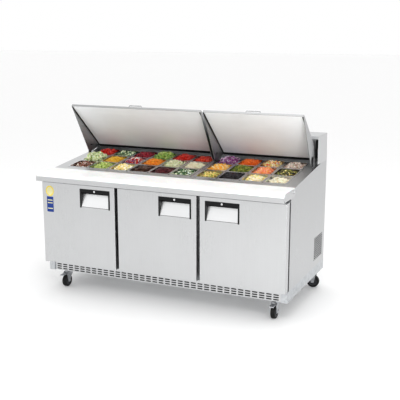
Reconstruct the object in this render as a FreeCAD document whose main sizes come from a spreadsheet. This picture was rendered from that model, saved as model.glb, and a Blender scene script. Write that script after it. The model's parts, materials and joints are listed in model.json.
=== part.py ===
"""Three-door refrigerated sandwich prep table with a pan top, as a parametric assembly.

Frame: millimetres, +Z up, +X to the right as the user faces the doors, +Y to the rear.
The origin is on the floor, midway across and midway between the board's front and the back.
Distances named *_back are measured rearwards from the front face of the doors.
"""
import FreeCAD
import Part
import math
import os
import re

from FreeCAD import Placement, Rotation, Vector
from Sketcher import Constraint

doc = FreeCAD.newDocument("prep_table")
sheet = doc.addObject("Spreadsheet::Sheet", "Sheet")

DRIVING = {
    # overall
    "width": 1807, "depth_back": 900, "board_ahead": 65, "skin": 2,
    # base and casters
    "base_z": 133, "base_height": 72, "kick_back": 60, "post_width": 42, "rail_width": 42,
    "slot_count": 35, "slot_pitch": 48.6, "slot_wide": 36, "slot_high": 8, "slot_step": 16,
    "wheel_radius": 45, "wheel_width": 30, "axle_radius": 5, "caster_trail": 33,
    "front_in": 103, "front_at": 145, "rear_in": 85, "rear_at": 830, "kingpin_radius": 8,
    "pad_wide": 164, "pad_long": 120, "pad_thick": 3,
    # doors
    "door_thick": 58, "face_back": 82, "face_thick": 28, "door_gap": 24,
    "door_bottom": 211, "door_top": 791, "door_skin": 1.5, "gasket_wide": 16, "gasket_inset": 8,
    "pin_radius": 5, "pin_in": 10, "pin_back": 15, "fit": 0.05, "gap": 0.3,
    "pull_wide": 236, "pull_high": 132, "pull_deep": 38, "pull_proud": 3,
    "pull_side": 38, "pull_down": 26, "bar_high": 24, "lock_radius": 7,
    # cabinet
    "wall": 45, "liner_back": 620, "frame_top": 836, "opening_wide": 520,
    "opening_bottom": 255, "opening_top": 745, "shelf_z": 460,
    "side_drop": 8, "ledge_z": 765, "ledge_thick": 35, "ledge_deep": 145,
    # working edge
    "lip_z": 808, "board_z": 840, "board_thick": 28, "board_depth": 218,
    # pan top
    "deck_back": 212, "deck_z": 872, "deck_slope": 6.4,
    "pan_wide": 163.5, "pan_long": 174, "pan_deep": 100, "pan_wall": 1.5,
    "left_columns": 6, "right_columns": 4, "divider": 25,
    # hood and lids
    "hood_back": 668, "hood_top": 1127, "hood_lip": 20, "hood_end": 3,
    "pivot_back": 615, "pivot_z": 976, "lid_open": 42, "lid_reach": 392, "lid_tail": 114.5,
    "lid_rise": 87, "lid_thick": 16, "lid_hub": 51, "lid_side": 882, "lid_split": 163.5,
    "lid_clear": 8, "pivot_radius": 4, "seal_wide": 20, "seal_high": 5,
}
for row, (alias, value) in enumerate(DRIVING.items(), start=1):
    sheet.set(f"A{row}", alias)
    sheet.set(f"B{row}", str(value))
    sheet.setAlias(f"B{row}", alias)
doc.recompute()

D = DRIVING
HALF = D["width"] / 2
FRONT = -(D["depth_back"] - D["board_ahead"]) / 2
BASE_TOP = D["base_z"] + D["base_height"]
NODES = []


# ---------------------------------------------------------------- helpers

def linked(text):
    """An expression in which every driving dimension's name points at its sheet cell."""
    text = re.sub(r"\bfront\b", "((board_ahead - depth_back) / 2)", text)
    return re.sub(r"[a-z]+(?:_[a-z]+)*", lambda m: "Sheet." + m[0] if m[0] in D else m[0], text)


def bind(thing, **sizes):
    for name, text in sizes.items():
        thing.setExpression(name.replace("__", "."), linked(str(text)))
    return thing


def place(thing, x, y, z):
    return bind(thing, Placement__Base__x=x, Placement__Base__y=y, Placement__Base__z=z)


def box(name, x, y, z, long, wide, high):
    """A box from its lowest corner and its three sizes, all as expressions."""
    thing = doc.addObject("Part::Box", name)
    bind(thing, Length=long, Width=wide, Height=high)
    return place(thing, x, y, z)


TURNS = {
    "z": Rotation(),
    "x": Rotation(Vector(0, 1, 0), 90),
    "y": Rotation(Vector(1, 0, 0), -90),
}


def rod(name, axis, x, y, z, radius, length):
    """A round bar that starts at a point and runs along +X, +Y or +Z."""
    thing = doc.addObject("Part::Cylinder", name)
    thing.Placement = Placement(Vector(), TURNS[axis])
    bind(thing, Radius=radius, Height=length)
    return place(thing, x, y, z)


def cut(name, base, *tools):
    thing = doc.addObject("Part::Cut", name)
    thing.Base = base
    thing.Tool = tools[0] if len(tools) == 1 else fuse(name + "_tools", *tools)
    return thing


def fuse(name, *pieces):
    thing = doc.addObject("Part::MultiFuse", name)
    thing.Shapes = list(pieces)
    return thing


def group(name, *pieces):
    """Separate solids that share one node."""
    thing = doc.addObject("Part::Compound", name)
    thing.Links = list(pieces)
    return thing


def solid(name, shape, placement=None):
    """A piece whose shape is worked out in code from the sheet's values."""
    thing = doc.addObject("Part::Feature", name)
    thing.Shape = shape
    if placement is not None:
        thing.Placement = placement
    return thing


def node(label, thing):
    thing.Label = label
    NODES.append(thing)
    return thing


def prism(points, x, length):
    """A solid of constant section: points are (y, z), extruded along +X from x."""
    corners = [Vector(x, y, z) for y, z in points]
    wire = Part.makePolygon(corners + corners[:1])
    return Part.Face(wire).extrude(Vector(length, 0, 0))


def block(x0, y0, z0, x1, y1, z1):
    return Part.makeBox(x1 - x0, y1 - y0, z1 - z0, Vector(x0, y0, z0))


def bar(radius, start, end):
    line = Vector(*end) - Vector(*start)
    return Part.makeCylinder(radius, line.Length, Vector(*start), line)


def sketch_on(body, role, name):
    plane = next(f for f in body.Origin.OriginFeatures if f.Role == role)
    sketch = body.newObject("Sketcher::SketchObject", name)
    sketch.AttachmentSupport = [(plane, "")]
    sketch.MapMode = "FlatFace"
    return sketch


def rectangle(sketch, wide, high, left=None, low=None):
    """A rectangle with its sizes bound to the sheet; its first corner is the origin by default."""
    corners = [Vector(1, 1, 0), Vector(2, 1, 0), Vector(2, 2, 0), Vector(1, 2, 0)]
    first = sketch.GeometryCount
    for a, b in zip(corners, corners[1:] + corners[:1]):
        sketch.addGeometry(Part.LineSegment(a, b))
    for side in range(4):
        nearby = first + (side + 1) % 4
        sketch.addConstraint(Constraint("Coincident", first + side, 2, nearby, 1))
    for side, kind in enumerate(("Horizontal", "Vertical", "Horizontal", "Vertical")):
        sketch.addConstraint(Constraint(kind, first + side))
    sizes = [("DistanceX", (first, 1, first, 2), wide), ("DistanceY", (first + 1, 1, first + 1, 2), high)]
    if left is None:
        sketch.addConstraint(Constraint("Coincident", first, 1, -1, 1))
    else:
        sizes += [("DistanceX", (-1, 1, first, 1), left), ("DistanceY", (-1, 1, first, 1), low)]
    for kind, ends, text in sizes:
        rule = sketch.addConstraint(Constraint(kind, *ends, 1.0))
        sketch.setExpression(f"Constraints[{rule}]", linked(text))


def pad(body, sketch, length, name="Pad"):
    thing = body.newObject("PartDesign::Pad", name)
    thing.Profile = sketch
    return bind(thing, Length=length)


def new_body(label, x, y, z):
    body = doc.addObject("PartDesign::Body", label)
    return place(body, x, y, z)


def back(distance):
    """Y of a place this far behind the door fronts."""
    return FRONT + distance


# ---------------------------------------------------------------- base

def base_frame():
    """A ring of open-bottomed channel with a rear tray, corner posts and caster mountings."""
    outer = box("base_block", "-width/2", "front + kick_back + 4", "base_z",
                "width", "depth_back - kick_back - 8", "base_height")
    inner = box("base_inside", "-width/2 + rail_width", "front + kick_back + rail_width", "base_z - 1",
                "width - 2*rail_width", "depth_back - kick_back - 2*rail_width", "base_height + 2")
    groove = box("groove_block", "-width/2 + skin", "front + kick_back + 4 + skin", "base_z - skin",
                 "width - 2*skin", "depth_back - kick_back - 8 - 2*skin", "base_height")
    island = box("groove_island", "-width/2 + rail_width - skin",
                 "front + kick_back + rail_width - skin", "base_z - 5",
                 "width - 2*rail_width + 2*skin", "depth_back - kick_back - 2*rail_width + 2*skin",
                 "base_height + 10")
    window = box("vent_window", "-width/2 + post_width + 12", "front + kick_back + 3", "base_z + 8",
                 "width - 2*post_width - 24", "skin + 2", "base_height - 18")
    ring = cut("base_ring", outer, inner, window, cut("groove", groove, island))
    tray = box("machine_tray", "-width/2 + rail_width - 1", "front + liner_back + 4",
               "base_z + base_height - skin", "width - 2*rail_width + 2",
               "depth_back - liner_back - rail_width - 2", "skin")
    pads = []
    for side in (-1, 1):
        for end in ("front", "rear"):
            pads.append(box("caster_pad", f"{side}*(width/2 - {end}_in) - pad_wide/2",
                            f"front + {end}_at - pad_long/2", "base_z", "pad_wide", "pad_long",
                            "pad_thick"))
    steel = fuse("base_steel", ring, tray, *pads)
    posts = [
        box("post_left", "-width/2", "front + kick_back - 8", "base_z", "post_width", "12", "base_height"),
        box("post_right", "width/2 - post_width", "front + kick_back - 8", "base_z", "post_width", "12",
            "base_height"),
    ]
    mounts = []
    for side in (-1, 1):
        for end in ("front", "rear"):
            x = f"{side}*(width/2 - {end}_in)"
            y = f"front + {end}_at"
            plate = box("caster_plate", f"{x} - 40", f"{y} - 48", "base_z - 5", "80", "96", "5")
            race = rod("caster_race", "z", x, y, "base_z - 22", "24", "17")
            pin = rod("kingpin", "z", x, y, "base_z - 36", "kingpin_radius", "36")
            nut = rod("kingpin_nut", "z", x, y, "base_z - 40", "13", "8")
            mounts.append(fuse("caster_mount", plate, race, pin, nut))
    node("base_frame", group("base_group", steel, *posts, *mounts))


def front_grille():
    """The louvred kick panel: groups of stacked slots repeated along its length."""
    body = new_body("grille_body", "-width/2 + post_width + 0.5", "front + kick_back + 3.5", "base_z + 2")
    face = sketch_on(body, "XZ_Plane", "grille_outline")
    rectangle(face, "width - 2*post_width - 1", "base_height - 4")
    pad(body, face, "3")
    slots = sketch_on(body, "XZ_Plane", "slot_group")
    first = "(width - 2*post_width - 1 - (slot_count - 1)*slot_pitch - slot_wide)/2"
    for row in range(3):
        rectangle(slots, "slot_wide", "slot_high", first, f"7 + {row}*slot_step")
    pocket = body.newObject("PartDesign::Pocket", "slot_cut")
    pocket.Profile = slots
    pocket.Type = "ThroughAll"
    pocket.Midplane = True
    doc.recompute()
    rows = body.newObject("PartDesign::LinearPattern", "slot_row")
    rows.Originals = [pocket]
    rows.Direction = (slots, ["H_Axis"])
    bind(rows, Length="(slot_count - 1)*slot_pitch", Occurrences="slot_count")
    body.Tip = rows
    node("front_grille", body)


# ---------------------------------------------------------------- cabinet

def deck_height(distance):
    """Height of the sloped pan top this far behind the door fronts."""
    return D["deck_z"] + (distance - D["deck_back"]) * math.tan(math.radians(D["deck_slope"]))


DECK = Placement(Vector(0, back(D["deck_back"]), D["deck_z"]),
                 Rotation(Vector(1, 0, 0), D["deck_slope"]))
SLOPE_FRONT = D["deck_back"] - 54
SLOPE_REAR = D["deck_back"] + 541
LEDGE_Z = deck_height(SLOPE_REAR)
PANS_LONG = 3 * D["pan_long"]
COLUMNS = D["left_columns"] + D["right_columns"]
PANS_LEFT = -(COLUMNS * D["pan_wide"] + D["divider"]) / 2
SPLIT_LEFT = PANS_LEFT + D["left_columns"] * D["pan_wide"]
SPLIT_RIGHT = SPLIT_LEFT + D["divider"]


def side_outline():
    """The cabinet's end profile: upright front, step to the working edge, sloped pan top."""
    profile = [
        (D["face_back"], BASE_TOP), (D["face_back"], D["frame_top"]),
        (SLOPE_FRONT, D["frame_top"]), (SLOPE_FRONT, deck_height(SLOPE_FRONT)),
        (SLOPE_REAR, LEDGE_Z), (D["depth_back"] - D["skin"], LEDGE_Z),
        (D["depth_back"] - D["skin"], BASE_TOP),
    ]
    return [(back(distance), z) for distance, z in profile]


def side_panels():
    skin = D["skin"]
    left = solid("side_left", prism(side_outline(), -HALF, skin))
    node("side_panel_left", left)
    panel = prism(side_outline(), HALF - skin, skin)
    holes = []
    columns, rows, pitch, radius = 13, 11, 15.5, 4.2
    for column in range(columns):
        for row in range(rows - column % 2):
            y = back(650 + column * pitch)
            z = 258 + (row + 0.5 * (column % 2)) * pitch
            holes.append(bar(radius, (HALF - 5, y, z), (HALF + 5, y, z)))
    node("side_panel_right", solid("side_right", panel.cut(Part.makeCompound(holes))))


def back_panel():
    skin = D["skin"]
    top = LEDGE_Z
    sheet_metal = block(-HALF, back(D["depth_back"] - skin), D["base_z"], HALF, back(D["depth_back"]), top)
    cuts = []
    for column in range(4):
        for row in range(10):
            x = 330 + column * 120
            z = 240 + row * 22
            cuts.append(block(x, back(880), z, x + 96, back(910), z + 9))
    cuts.append(block(-230, back(880), 340, -190, back(910), 368))
    node("back_panel", solid("back_sheet", sheet_metal.cut(Part.makeCompound(cuts))))


def insulated_liner():
    """The foamed cabinet tub, open to the doors and to the pan well above it."""
    inside = "(width - 2*skin - 2*wall)"
    deep = "(liner_back - face_back - face_thick)"
    start = "front + face_back + face_thick"
    bottom = "(base_z + base_height)"
    low = f"{bottom} + wall"
    side_high = f"frame_top - side_drop - {bottom} - wall"
    floor = box("liner_floor", "-width/2 + skin", start, bottom, "width - 2*skin", deep, "wall")
    left = box("liner_left", "-width/2 + skin", start, low, "wall", deep, side_high)
    right = box("liner_right", "width/2 - skin - wall", start, low, "wall", deep, side_high)
    rear = box("liner_rear", f"-{inside}/2", "front + liner_back - wall", low, inside, "wall",
               f"ledge_z - {bottom} - wall")
    ledge = box("liner_ledge", f"-{inside}/2", "front + liner_back", "ledge_z - ledge_thick", inside,
                "ledge_deep", "ledge_thick")
    node("insulated_liner", fuse("liner", floor, left, right, rear, ledge))


def door_frame():
    """The front frame that the door seals close against."""
    plate = box("frame_plate", "-width/2 + skin", "front + face_back", "base_z + base_height",
                "width - 2*skin", "face_thick", "frame_top - base_z - base_height")
    holes = []
    for number in (-1, 0, 1):
        centre = f"{number}*(width + door_gap)/3"
        holes.append(box("door_opening", f"{centre} - opening_wide/2", "front + face_back - 5",
                         "opening_bottom", "opening_wide", "face_thick + 10",
                         "opening_top - opening_bottom"))
    node("door_frame", cut("frame_cut", plate, *holes))


def wire_shelves():
    """One wire shelf behind each door, on clips and upright posts."""
    z = D["shelf_z"]
    near, far = back(136), back(545)
    half, spacing = 264, 578
    wall = HALF - D["skin"] - D["wall"]
    end_post, middle_post = wall - 5, 304
    end_clip, clip_half = wall - 38, 36
    pieces = []
    for centre in (-spacing, 0, spacing):
        rim = [(centre - half, near, z), (centre + half, near, z), (centre + half, far, z),
               (centre - half, far, z)]
        wires = [bar(4, a, b) for a, b in zip(rim, rim[1:] + rim[:1])]
        wires += [Part.makeSphere(4, Vector(*corner)) for corner in rim]
        for step in range(1, 12):
            x = centre - half + step * 2 * half / 12
            wires.append(bar(2, (x, near, z), (x, far, z)))
        middle = (near + far) / 2
        wires.append(bar(3, (centre - half, middle, z - 1), (centre + half, middle, z - 1)))
        pieces.append(wires[0].fuse(wires[1:]))
    for x in (-end_post, -middle_post, middle_post, end_post):
        clip_x = min(max(x, -end_clip), end_clip)
        for y, inward in ((back(114), 1), (back(557), -1)):
            post = block(x - 5, y, 250, x + 5, y + 10, 735)
            start = y + 10 if inward > 0 else y - 20
            clip = block(clip_x - clip_half, start, z - 12, clip_x + clip_half, start + 20, z - 4.3)
            pieces += [post, clip]
    node("wire_shelves", solid("shelves", Part.makeCompound(pieces)))


# ---------------------------------------------------------------- working edge

def board_shelf():
    """The folded shelf that carries the cutting board, with gussets, end brackets and bolts."""
    span = "width + 4"
    top = box("shelf_top", "-width/2 - 2", "front - board_ahead", "board_z - skin", span,
              f"board_ahead + {SLOPE_FRONT}", "skin")
    lip = box("shelf_lip", "-width/2 - 2", "front - board_ahead", "lip_z", span, "skin", "board_z - lip_z")
    hem = box("shelf_hem", "-width/2 - 2", "front - board_ahead", "lip_z", span, "20", "skin")
    profile = [(-61, 838), (82, 838), (82, 812), (55, 812), (-40, 824), (-61, 824)]
    gussets = [
        solid("shelf_gusset", prism([(back(y), z) for y, z in profile], x, 3))
        for x in (-860, -300, 297, 857)
    ]
    pieces = [fuse("shelf_sheet", top, lip, hem), *gussets]
    outline = [(-60, 812), (-62, 846), (-50, 858), (-30, 864), (128, 864), (146, 856), (152, 840),
               (146, 822), (128, 812)]
    for side in (-1, 1):
        start = HALF + 2 if side > 0 else -HALF - 5
        plate = prism([(back(y), z) for y, z in outline], start, 3)
        centre_y, centre_z = back(118), 846
        shank = bar(5, (side * (HALF + 2), centre_y, centre_z), (side * (HALF + 5), centre_y, centre_z))
        head = bar(9, (side * (HALF + 5), centre_y, centre_z), (side * (HALF + 12), centre_y, centre_z))
        plate = plate.cut(bar(5, (side * (HALF - 1), centre_y, centre_z),
                              (side * (HALF + 9), centre_y, centre_z)))
        pieces.append(solid("end_bracket", plate))
        pieces.append(solid("bracket_bolt", shank.fuse(head).removeSplitter()))
    node("board_shelf", group("shelf_group", *pieces))


def cutting_board():
    body = new_body("board_body", "-width/2 - 1.5", "front - board_ahead", "board_z + gap")
    outline = sketch_on(body, "XY_Plane", "board_outline")
    rectangle(outline, "width + 3", "board_depth")
    slab = pad(body, outline, "board_thick")
    doc.recompute()
    edges = [f"Edge{n}" for n, e in enumerate(slab.Shape.Edges, start=1)
             if e.BoundBox.ZLength < 0.1 and e.CenterOfMass.z > D["board_thick"] / 2]
    rounded = body.newObject("PartDesign::Fillet", "board_rounding")
    rounded.Base = (slab, edges)
    rounded.Radius = 4
    body.Tip = rounded
    node("cutting_board", body)


# ---------------------------------------------------------------- pan top

def pan_deck():
    skin = D["skin"]
    wide = HALF - skin
    slope = block(-wide, -54, -skin, wide, 545, 0)
    left = block(PANS_LEFT, 0, -9, SPLIT_LEFT, PANS_LONG, 9)
    right = block(SPLIT_RIGHT, 0, -9, -PANS_LEFT, PANS_LONG, 9)
    slope = slope.cut([left, right])
    slope.Placement = DECK
    rear = block(-wide, back(SLOPE_REAR - 3), LEDGE_Z - skin, wide, back(D["depth_back"] - skin), LEDGE_Z)
    near = SLOPE_FRONT + 0.3
    flange = block(-wide, back(near), D["board_z"], wide, back(near + skin), deck_height(near) - 1)
    node("pan_deck", solid("deck", slope.fuse([rear, flange]).removeSplitter()))


def pan_well():
    """The open-ended duct under the pans and the bars that the pans' rims rest on."""
    low = -135
    outer = block(-846, -12, low, 846, PANS_LONG + 12, -D["skin"])
    inner = block(-843, -9, low - 1, 843, PANS_LONG + 9, 0)
    pieces = [outer.cut(inner)]
    for line in (1, 2):
        y = line * D["pan_long"]
        pieces.append(block(PANS_LEFT - 10, y - 5, -14, SPLIT_LEFT + 5, y + 5, -D["skin"]))
        pieces.append(block(SPLIT_RIGHT - 5, y - 5, -14, -PANS_LEFT + 10, y + 5, -D["skin"]))
    node("pan_well", solid("well", Part.makeCompound(pieces), DECK))


def rounded_wire(wide, long, radius, z):
    """A rectangle with rounded corners, centred on the Z axis."""
    x, y = wide / 2, long / 2
    edges = []
    for turn, (a, b) in enumerate(((x, y), (y, x), (x, y), (y, x))):
        start = Vector(a, -b + radius, z)
        end = Vector(a, b - radius, z)
        k = radius * (1 - math.sqrt(0.5))
        arc = Part.Arc(end, Vector(a - k, b - k, z), Vector(a - radius, b, z)).toShape()
        for edge in (Part.LineSegment(start, end).toShape(), arc):
            edge.rotate(Vector(), Vector(0, 0, 1), 90 * turn)
            edges.append(edge)
    return Part.Wire(edges)


def tub(wide, long, radius, top, low, taper):
    return Part.makeLoft([rounded_wire(wide, long, radius, top),
                          rounded_wire(wide - taper, long - taper, radius, low)], True, True)


def pan_and_food():
    """One shallow pan with a flat rim, and the mass of food that fills it."""
    wide, long, wall = D["pan_wide"], D["pan_long"], D["pan_wall"]
    top = D["gap"] + wall
    low = -D["pan_deep"]
    shell = tub(wide - 17, long - 17, 22, top, low, 8)
    plate = Part.Face(rounded_wire(wide - 1, long - 1, 10, D["gap"])).extrude(Vector(0, 0, wall))
    hollow = tub(wide - 17 - 2 * wall, long - 17 - 2 * wall, 22 - wall, top, low + wall, 8)
    pan = shell.fuse(plate).cut(hollow).removeSplitter()
    food = tub(wide - 18 - 2 * wall, long - 18 - 2 * wall, 20, top, low + wall + 0.3, 8)
    return pan, food


def pan_rows():
    """Pans in three rows across both openings, with the food that they hold."""
    pan, food = pan_and_food()
    for line, row in enumerate(("front", "middle", "rear")):
        y = (line + 0.5) * D["pan_long"]
        pans, foods = [], []
        for column in range(COLUMNS):
            x = PANS_LEFT + (column + 0.5) * D["pan_wide"]
            if column >= D["left_columns"]:
                x += D["divider"]
            pans.append(pan.translated(Vector(x, y, 0)))
            foods.append(food.translated(Vector(x, y, 0)))
        node(f"pans_{row}_row", solid(f"{row}_pans", Part.makeCompound(pans), DECK))
        node(f"food_{row}_row", solid(f"{row}_food", Part.makeCompound(foods), DECK))


# ---------------------------------------------------------------- hood and lids

def hood():
    """The fixed rear housing, open at its front where the lids' tails swing in."""
    deep = "depth_back - hood_back"
    ledge = f"{LEDGE_Z:.6f}"
    top = box("hood_top_sheet", "-width/2", "front + hood_back", "hood_top - skin", "width", deep, "skin")
    rear = box("hood_rear", "-width/2", "front + depth_back - skin", ledge, "width", "skin",
               f"hood_top - {ledge}")
    lip = box("hood_front_lip", "-width/2", "front + hood_back", "hood_top - hood_lip", "width", "skin",
              "hood_lip")
    sheet_metal = fuse("hood_sheet", top, rear, lip)
    ends = []
    for start in ("-width/2", "width/2 - hood_end"):
        ends.append(box("hood_end_cap", start, "front + hood_back + skin", ledge, "hood_end",
                        f"{deep} - 2*skin", f"hood_top - skin - {ledge}"))
    node("hood", group("hood_group", sheet_metal, *ends))


PIVOT_Y = back(D["pivot_back"])
PIVOT_Z = D["pivot_z"]
OPEN = math.radians(180 - D["lid_open"])


def on_lid(along, inward, x=0):
    """A place on the open lid: along it from the pivot, and inward from the pivot's line."""
    y = PIVOT_Y + along * math.cos(OPEN) - inward * math.sin(OPEN)
    z = PIVOT_Z + along * math.sin(OPEN) + inward * math.cos(OPEN)
    return Vector(x, y, z)


def lid_pivots():
    """Upright ears on the pan top with the pins that the lids turn on."""
    r = D["pivot_radius"]
    reach = 11
    ears = [
        (-D["lid_side"] - 10, 4, [(-D["lid_side"] - 10, -D["lid_side"] + reach)]),
        (D["lid_split"] - 1.5, 3, [(D["lid_split"] - 1.5 - 3 - reach, D["lid_split"] + 1.5 + 3 + reach)]),
        (D["lid_side"] + 6, 4, [(D["lid_side"] - reach, D["lid_side"] + 10)]),
    ]
    pieces = []
    for x, thick, pins in ears:
        low = D["pivot_back"]
        foot = [(back(low + side * 18), deck_height(low + side * 18)) for side in (-1, 1)]
        head = [(PIVOT_Y + 18, PIVOT_Z), (PIVOT_Y - 18, PIVOT_Z)]
        ear = prism(foot + head, x, thick)
        ear = ear.fuse(bar(18, (x, PIVOT_Y, PIVOT_Z), (x + thick, PIVOT_Y, PIVOT_Z)))
        for start, end in pins:
            ear = ear.fuse(bar(r, (start, PIVOT_Y, PIVOT_Z), (end, PIVOT_Y, PIVOT_Z)))
        pieces.append(ear.removeSplitter())
    node("lid_pivots", solid("pivots", Part.makeCompound(pieces)))


def lid_polygon(points, x, length):
    corners = [on_lid(along, inward, x) for along, inward in points]
    return Part.Face(Part.makePolygon(corners + corners[:1])).extrude(Vector(length, 0, 0))


def lid_end_plate(x, thick):
    """A tapering end plate whose rounded lower corner is centred on the pivot."""
    reach, tail, rise, deep = D["lid_reach"], D["lid_tail"], D["lid_rise"], D["lid_thick"]
    hub = D["lid_hub"]

    def tangent(along, inward, turn):
        distance = math.hypot(along, inward)
        angle = math.atan2(inward, along) + turn * math.acos(hub / distance)
        return angle % (2 * math.pi)

    first = tangent(reach, deep - rise, 1)
    last = tangent(-tail, deep - rise, -1)
    rim = [on_lid(hub * math.cos(a), hub * math.sin(a), x) for a in (first, (first + last) / 2, last)]
    outline = [on_lid(-tail, deep - rise, x), on_lid(-tail, -rise, x), on_lid(reach, -rise, x),
               on_lid(reach, deep - rise, x)]
    lines = [outline[0], outline[1], outline[2], outline[3], rim[0]]
    edges = [Part.LineSegment(a, b).toShape() for a, b in zip(lines, lines[1:])]
    edges.append(Part.Arc(*rim).toShape())
    edges.append(Part.LineSegment(rim[2], outline[0]).toShape())
    plate = Part.Face(Part.Wire(edges)).extrude(Vector(thick, 0, 0))
    hole = bar(D["pivot_radius"] + D["fit"], (x - 1, PIVOT_Y, PIVOT_Z), (x + thick + 1, PIVOT_Y, PIVOT_Z))
    return plate.cut(hole)


def lid(side, x0, x1):
    """One lid in its open position: folded skin with end plates, inner pan, seal and handle."""
    reach, tail, rise, deep = D["lid_reach"], D["lid_tail"], D["lid_rise"], D["lid_thick"]
    skin, plate = D["skin"], 3
    outer, inner = -rise, deep - rise
    channel = [(-tail, outer), (reach, outer), (reach, inner), (reach - skin, inner),
               (reach - skin, outer + skin), (-tail + skin, outer + skin), (-tail + skin, inner),
               (-tail, inner)]
    sheet_metal = lid_polygon(channel, x0 + plate, x1 - x0 - 2 * plate)
    ends = [lid_end_plate(x0, plate), lid_end_plate(x1 - plate, plate)]
    node(f"lid_{side}_panel", solid(f"panel_{side}", sheet_metal.fuse(ends).removeSplitter()))
    slab = [(-tail + skin, outer + skin), (reach - skin, outer + skin), (reach - skin, inner),
            (-tail + skin, inner)]
    node(f"lid_{side}_liner", solid(f"liner_{side}", lid_polygon(slab, x0 + plate, x1 - x0 - 2 * plate)))
    wide, high = D["seal_wide"], D["seal_high"]
    seal = [(-tail, inner), (-tail + wide, inner), (-tail + wide, inner + high), (-tail, inner + high)]
    node(f"lid_{side}_gasket", solid(f"seal_{side}", lid_polygon(seal, x0 + plate, x1 - x0 - 2 * plate)))
    middle, half, out, radius = (x0 + x1) / 2, 55, outer - 18, 4
    feet = [on_lid(reach - 14, outer, middle + s * half) for s in (-1, 1)]
    heads = [on_lid(reach - 10, out, middle + s * (half - 8)) for s in (-1, 1)]
    grip = bar(radius, heads[0], heads[1])
    for foot, head in zip(feet, heads):
        grip = grip.fuse([bar(radius, foot, head), Part.makeSphere(radius, head)])
    grip = grip.cut(lid_polygon([(reach - 40, outer), (reach, outer), (reach, outer + 9),
                                 (reach - 40, outer + 9)], x0, x1 - x0))
    node(f"lid_{side}_handle", solid(f"handle_{side}", grip.removeSplitter()))


# ---------------------------------------------------------------- doors

def door(name, number, hinged):
    """A door: outer skin, filled inner panel, seal, recessed pull and lock cylinder."""
    wide = "(width - 2*door_gap)/3"
    x0 = f"(-width/2 + {number}*({wide} + door_gap))"
    high = "door_top - door_bottom"
    pull_x = f"{x0} + {wide} - pull_side - pull_wide" if hinged == "left" else f"{x0} + pull_side"
    pull_z = "door_top - pull_down - pull_high"
    pin_x = f"{x0} + pin_in" if hinged == "left" else f"{x0} + {wide} - pin_in"

    def pocket(tag):
        return box(f"{name}_pull_hole_{tag}", f"{pull_x} + 5", "front - 1", f"{pull_z} + 5",
                   "pull_wide - 10", "pull_deep", "pull_high - 10")

    def pin_holes(tag):
        radius = "pin_radius + fit"
        return [rod(f"{name}_pin_hole_{tag}", "z", pin_x, "front + pin_back", start, radius, "22")
                for start in ("door_bottom - 5", "door_top - 17")]

    block_out = box(f"{name}_outside", x0, "front", "door_bottom", wide, "door_thick", high)
    block_in = box(f"{name}_inside", f"{x0} + door_skin", "front + door_skin", "door_bottom + door_skin",
                   f"{wide} - 2*door_skin", "door_thick", f"{high} - 2*door_skin")
    node(f"{name}_skin", cut(f"{name}_shell", block_out, block_in, pocket("a"), *pin_holes("a")))
    filling = box(f"{name}_filling", f"{x0} + door_skin", "front + door_skin", "door_bottom + door_skin",
                  f"{wide} - 2*door_skin", "door_thick - door_skin", f"{high} - 2*door_skin")
    node(f"{name}_liner", cut(f"{name}_core", filling, pocket("b"), *pin_holes("b")))
    ring_out = box(f"{name}_seal_out", f"{x0} + gasket_inset", "front + door_thick",
                   "door_bottom + gasket_inset", f"{wide} - 2*gasket_inset",
                   "face_back - door_thick - gap", f"{high} - 2*gasket_inset")
    ring_in = box(f"{name}_seal_in", f"{x0} + gasket_inset + gasket_wide", "front + door_thick - 1",
                  "door_bottom + gasket_inset + gasket_wide",
                  f"{wide} - 2*gasket_inset - 2*gasket_wide", "face_back - door_thick + 2",
                  f"{high} - 2*gasket_inset - 2*gasket_wide")
    node(f"{name}_gasket", cut(f"{name}_seal", ring_out, ring_in))
    pull(name, pull_x, pull_z)


def pull(name, pull_x, pull_z):
    """A flanged pull with a sloping pocket, finger room behind its bar, and a lock in the bar."""
    flange = box(f"{name}_flange", pull_x, "front - pull_proud", pull_z, "pull_wide", "pull_proud",
                 "pull_high")
    rear = box(f"{name}_pull_back", f"{pull_x} + 5", "front", f"{pull_z} + 5", "pull_wide - 10",
               "pull_deep - 1", "pull_high - 10")
    blank = fuse(f"{name}_pull_blank", flange, rear)
    doc.recompute()
    size = flange.Shape.BoundBox
    top, low, deep = size.ZMax, size.ZMin, FRONT + 31
    ahead = FRONT - D["pull_proud"] - 1
    profile = [(ahead, top - D["bar_high"]), (FRONT + 11, top - D["bar_high"]), (FRONT + 11, top - 9),
               (deep, top - 9), (deep, top - 36), (FRONT, low + 5), (FRONT, low - 1), (ahead, low - 1)]
    hollow = solid(f"{name}_pull_hollow", prism(profile, size.XMin + 9, size.XLength - 18))
    bore = rod(f"{name}_lock_bore", "y", f"{pull_x} + pull_wide/2", "front - pull_proud - 1",
               f"{pull_z} + pull_high - bar_high/2", "lock_radius + fit", "12")
    node(f"{name}_pull", cut(f"{name}_pull_cut", blank, hollow, bore))
    barrel = rod(f"{name}_lock_barrel", "y", f"{pull_x} + pull_wide/2", "front - pull_proud - 2",
                 f"{pull_z} + pull_high - bar_high/2", "lock_radius", "12.5")
    keyway = box(f"{name}_keyway", f"{pull_x} + pull_wide/2 - 0.8", "front - pull_proud - 3",
                 f"{pull_z} + pull_high - bar_high/2 - 3.5", "1.6", "5", "7")
    node(f"{name}_lock", cut(f"{name}_lock_cylinder", barrel, keyway))


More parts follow.
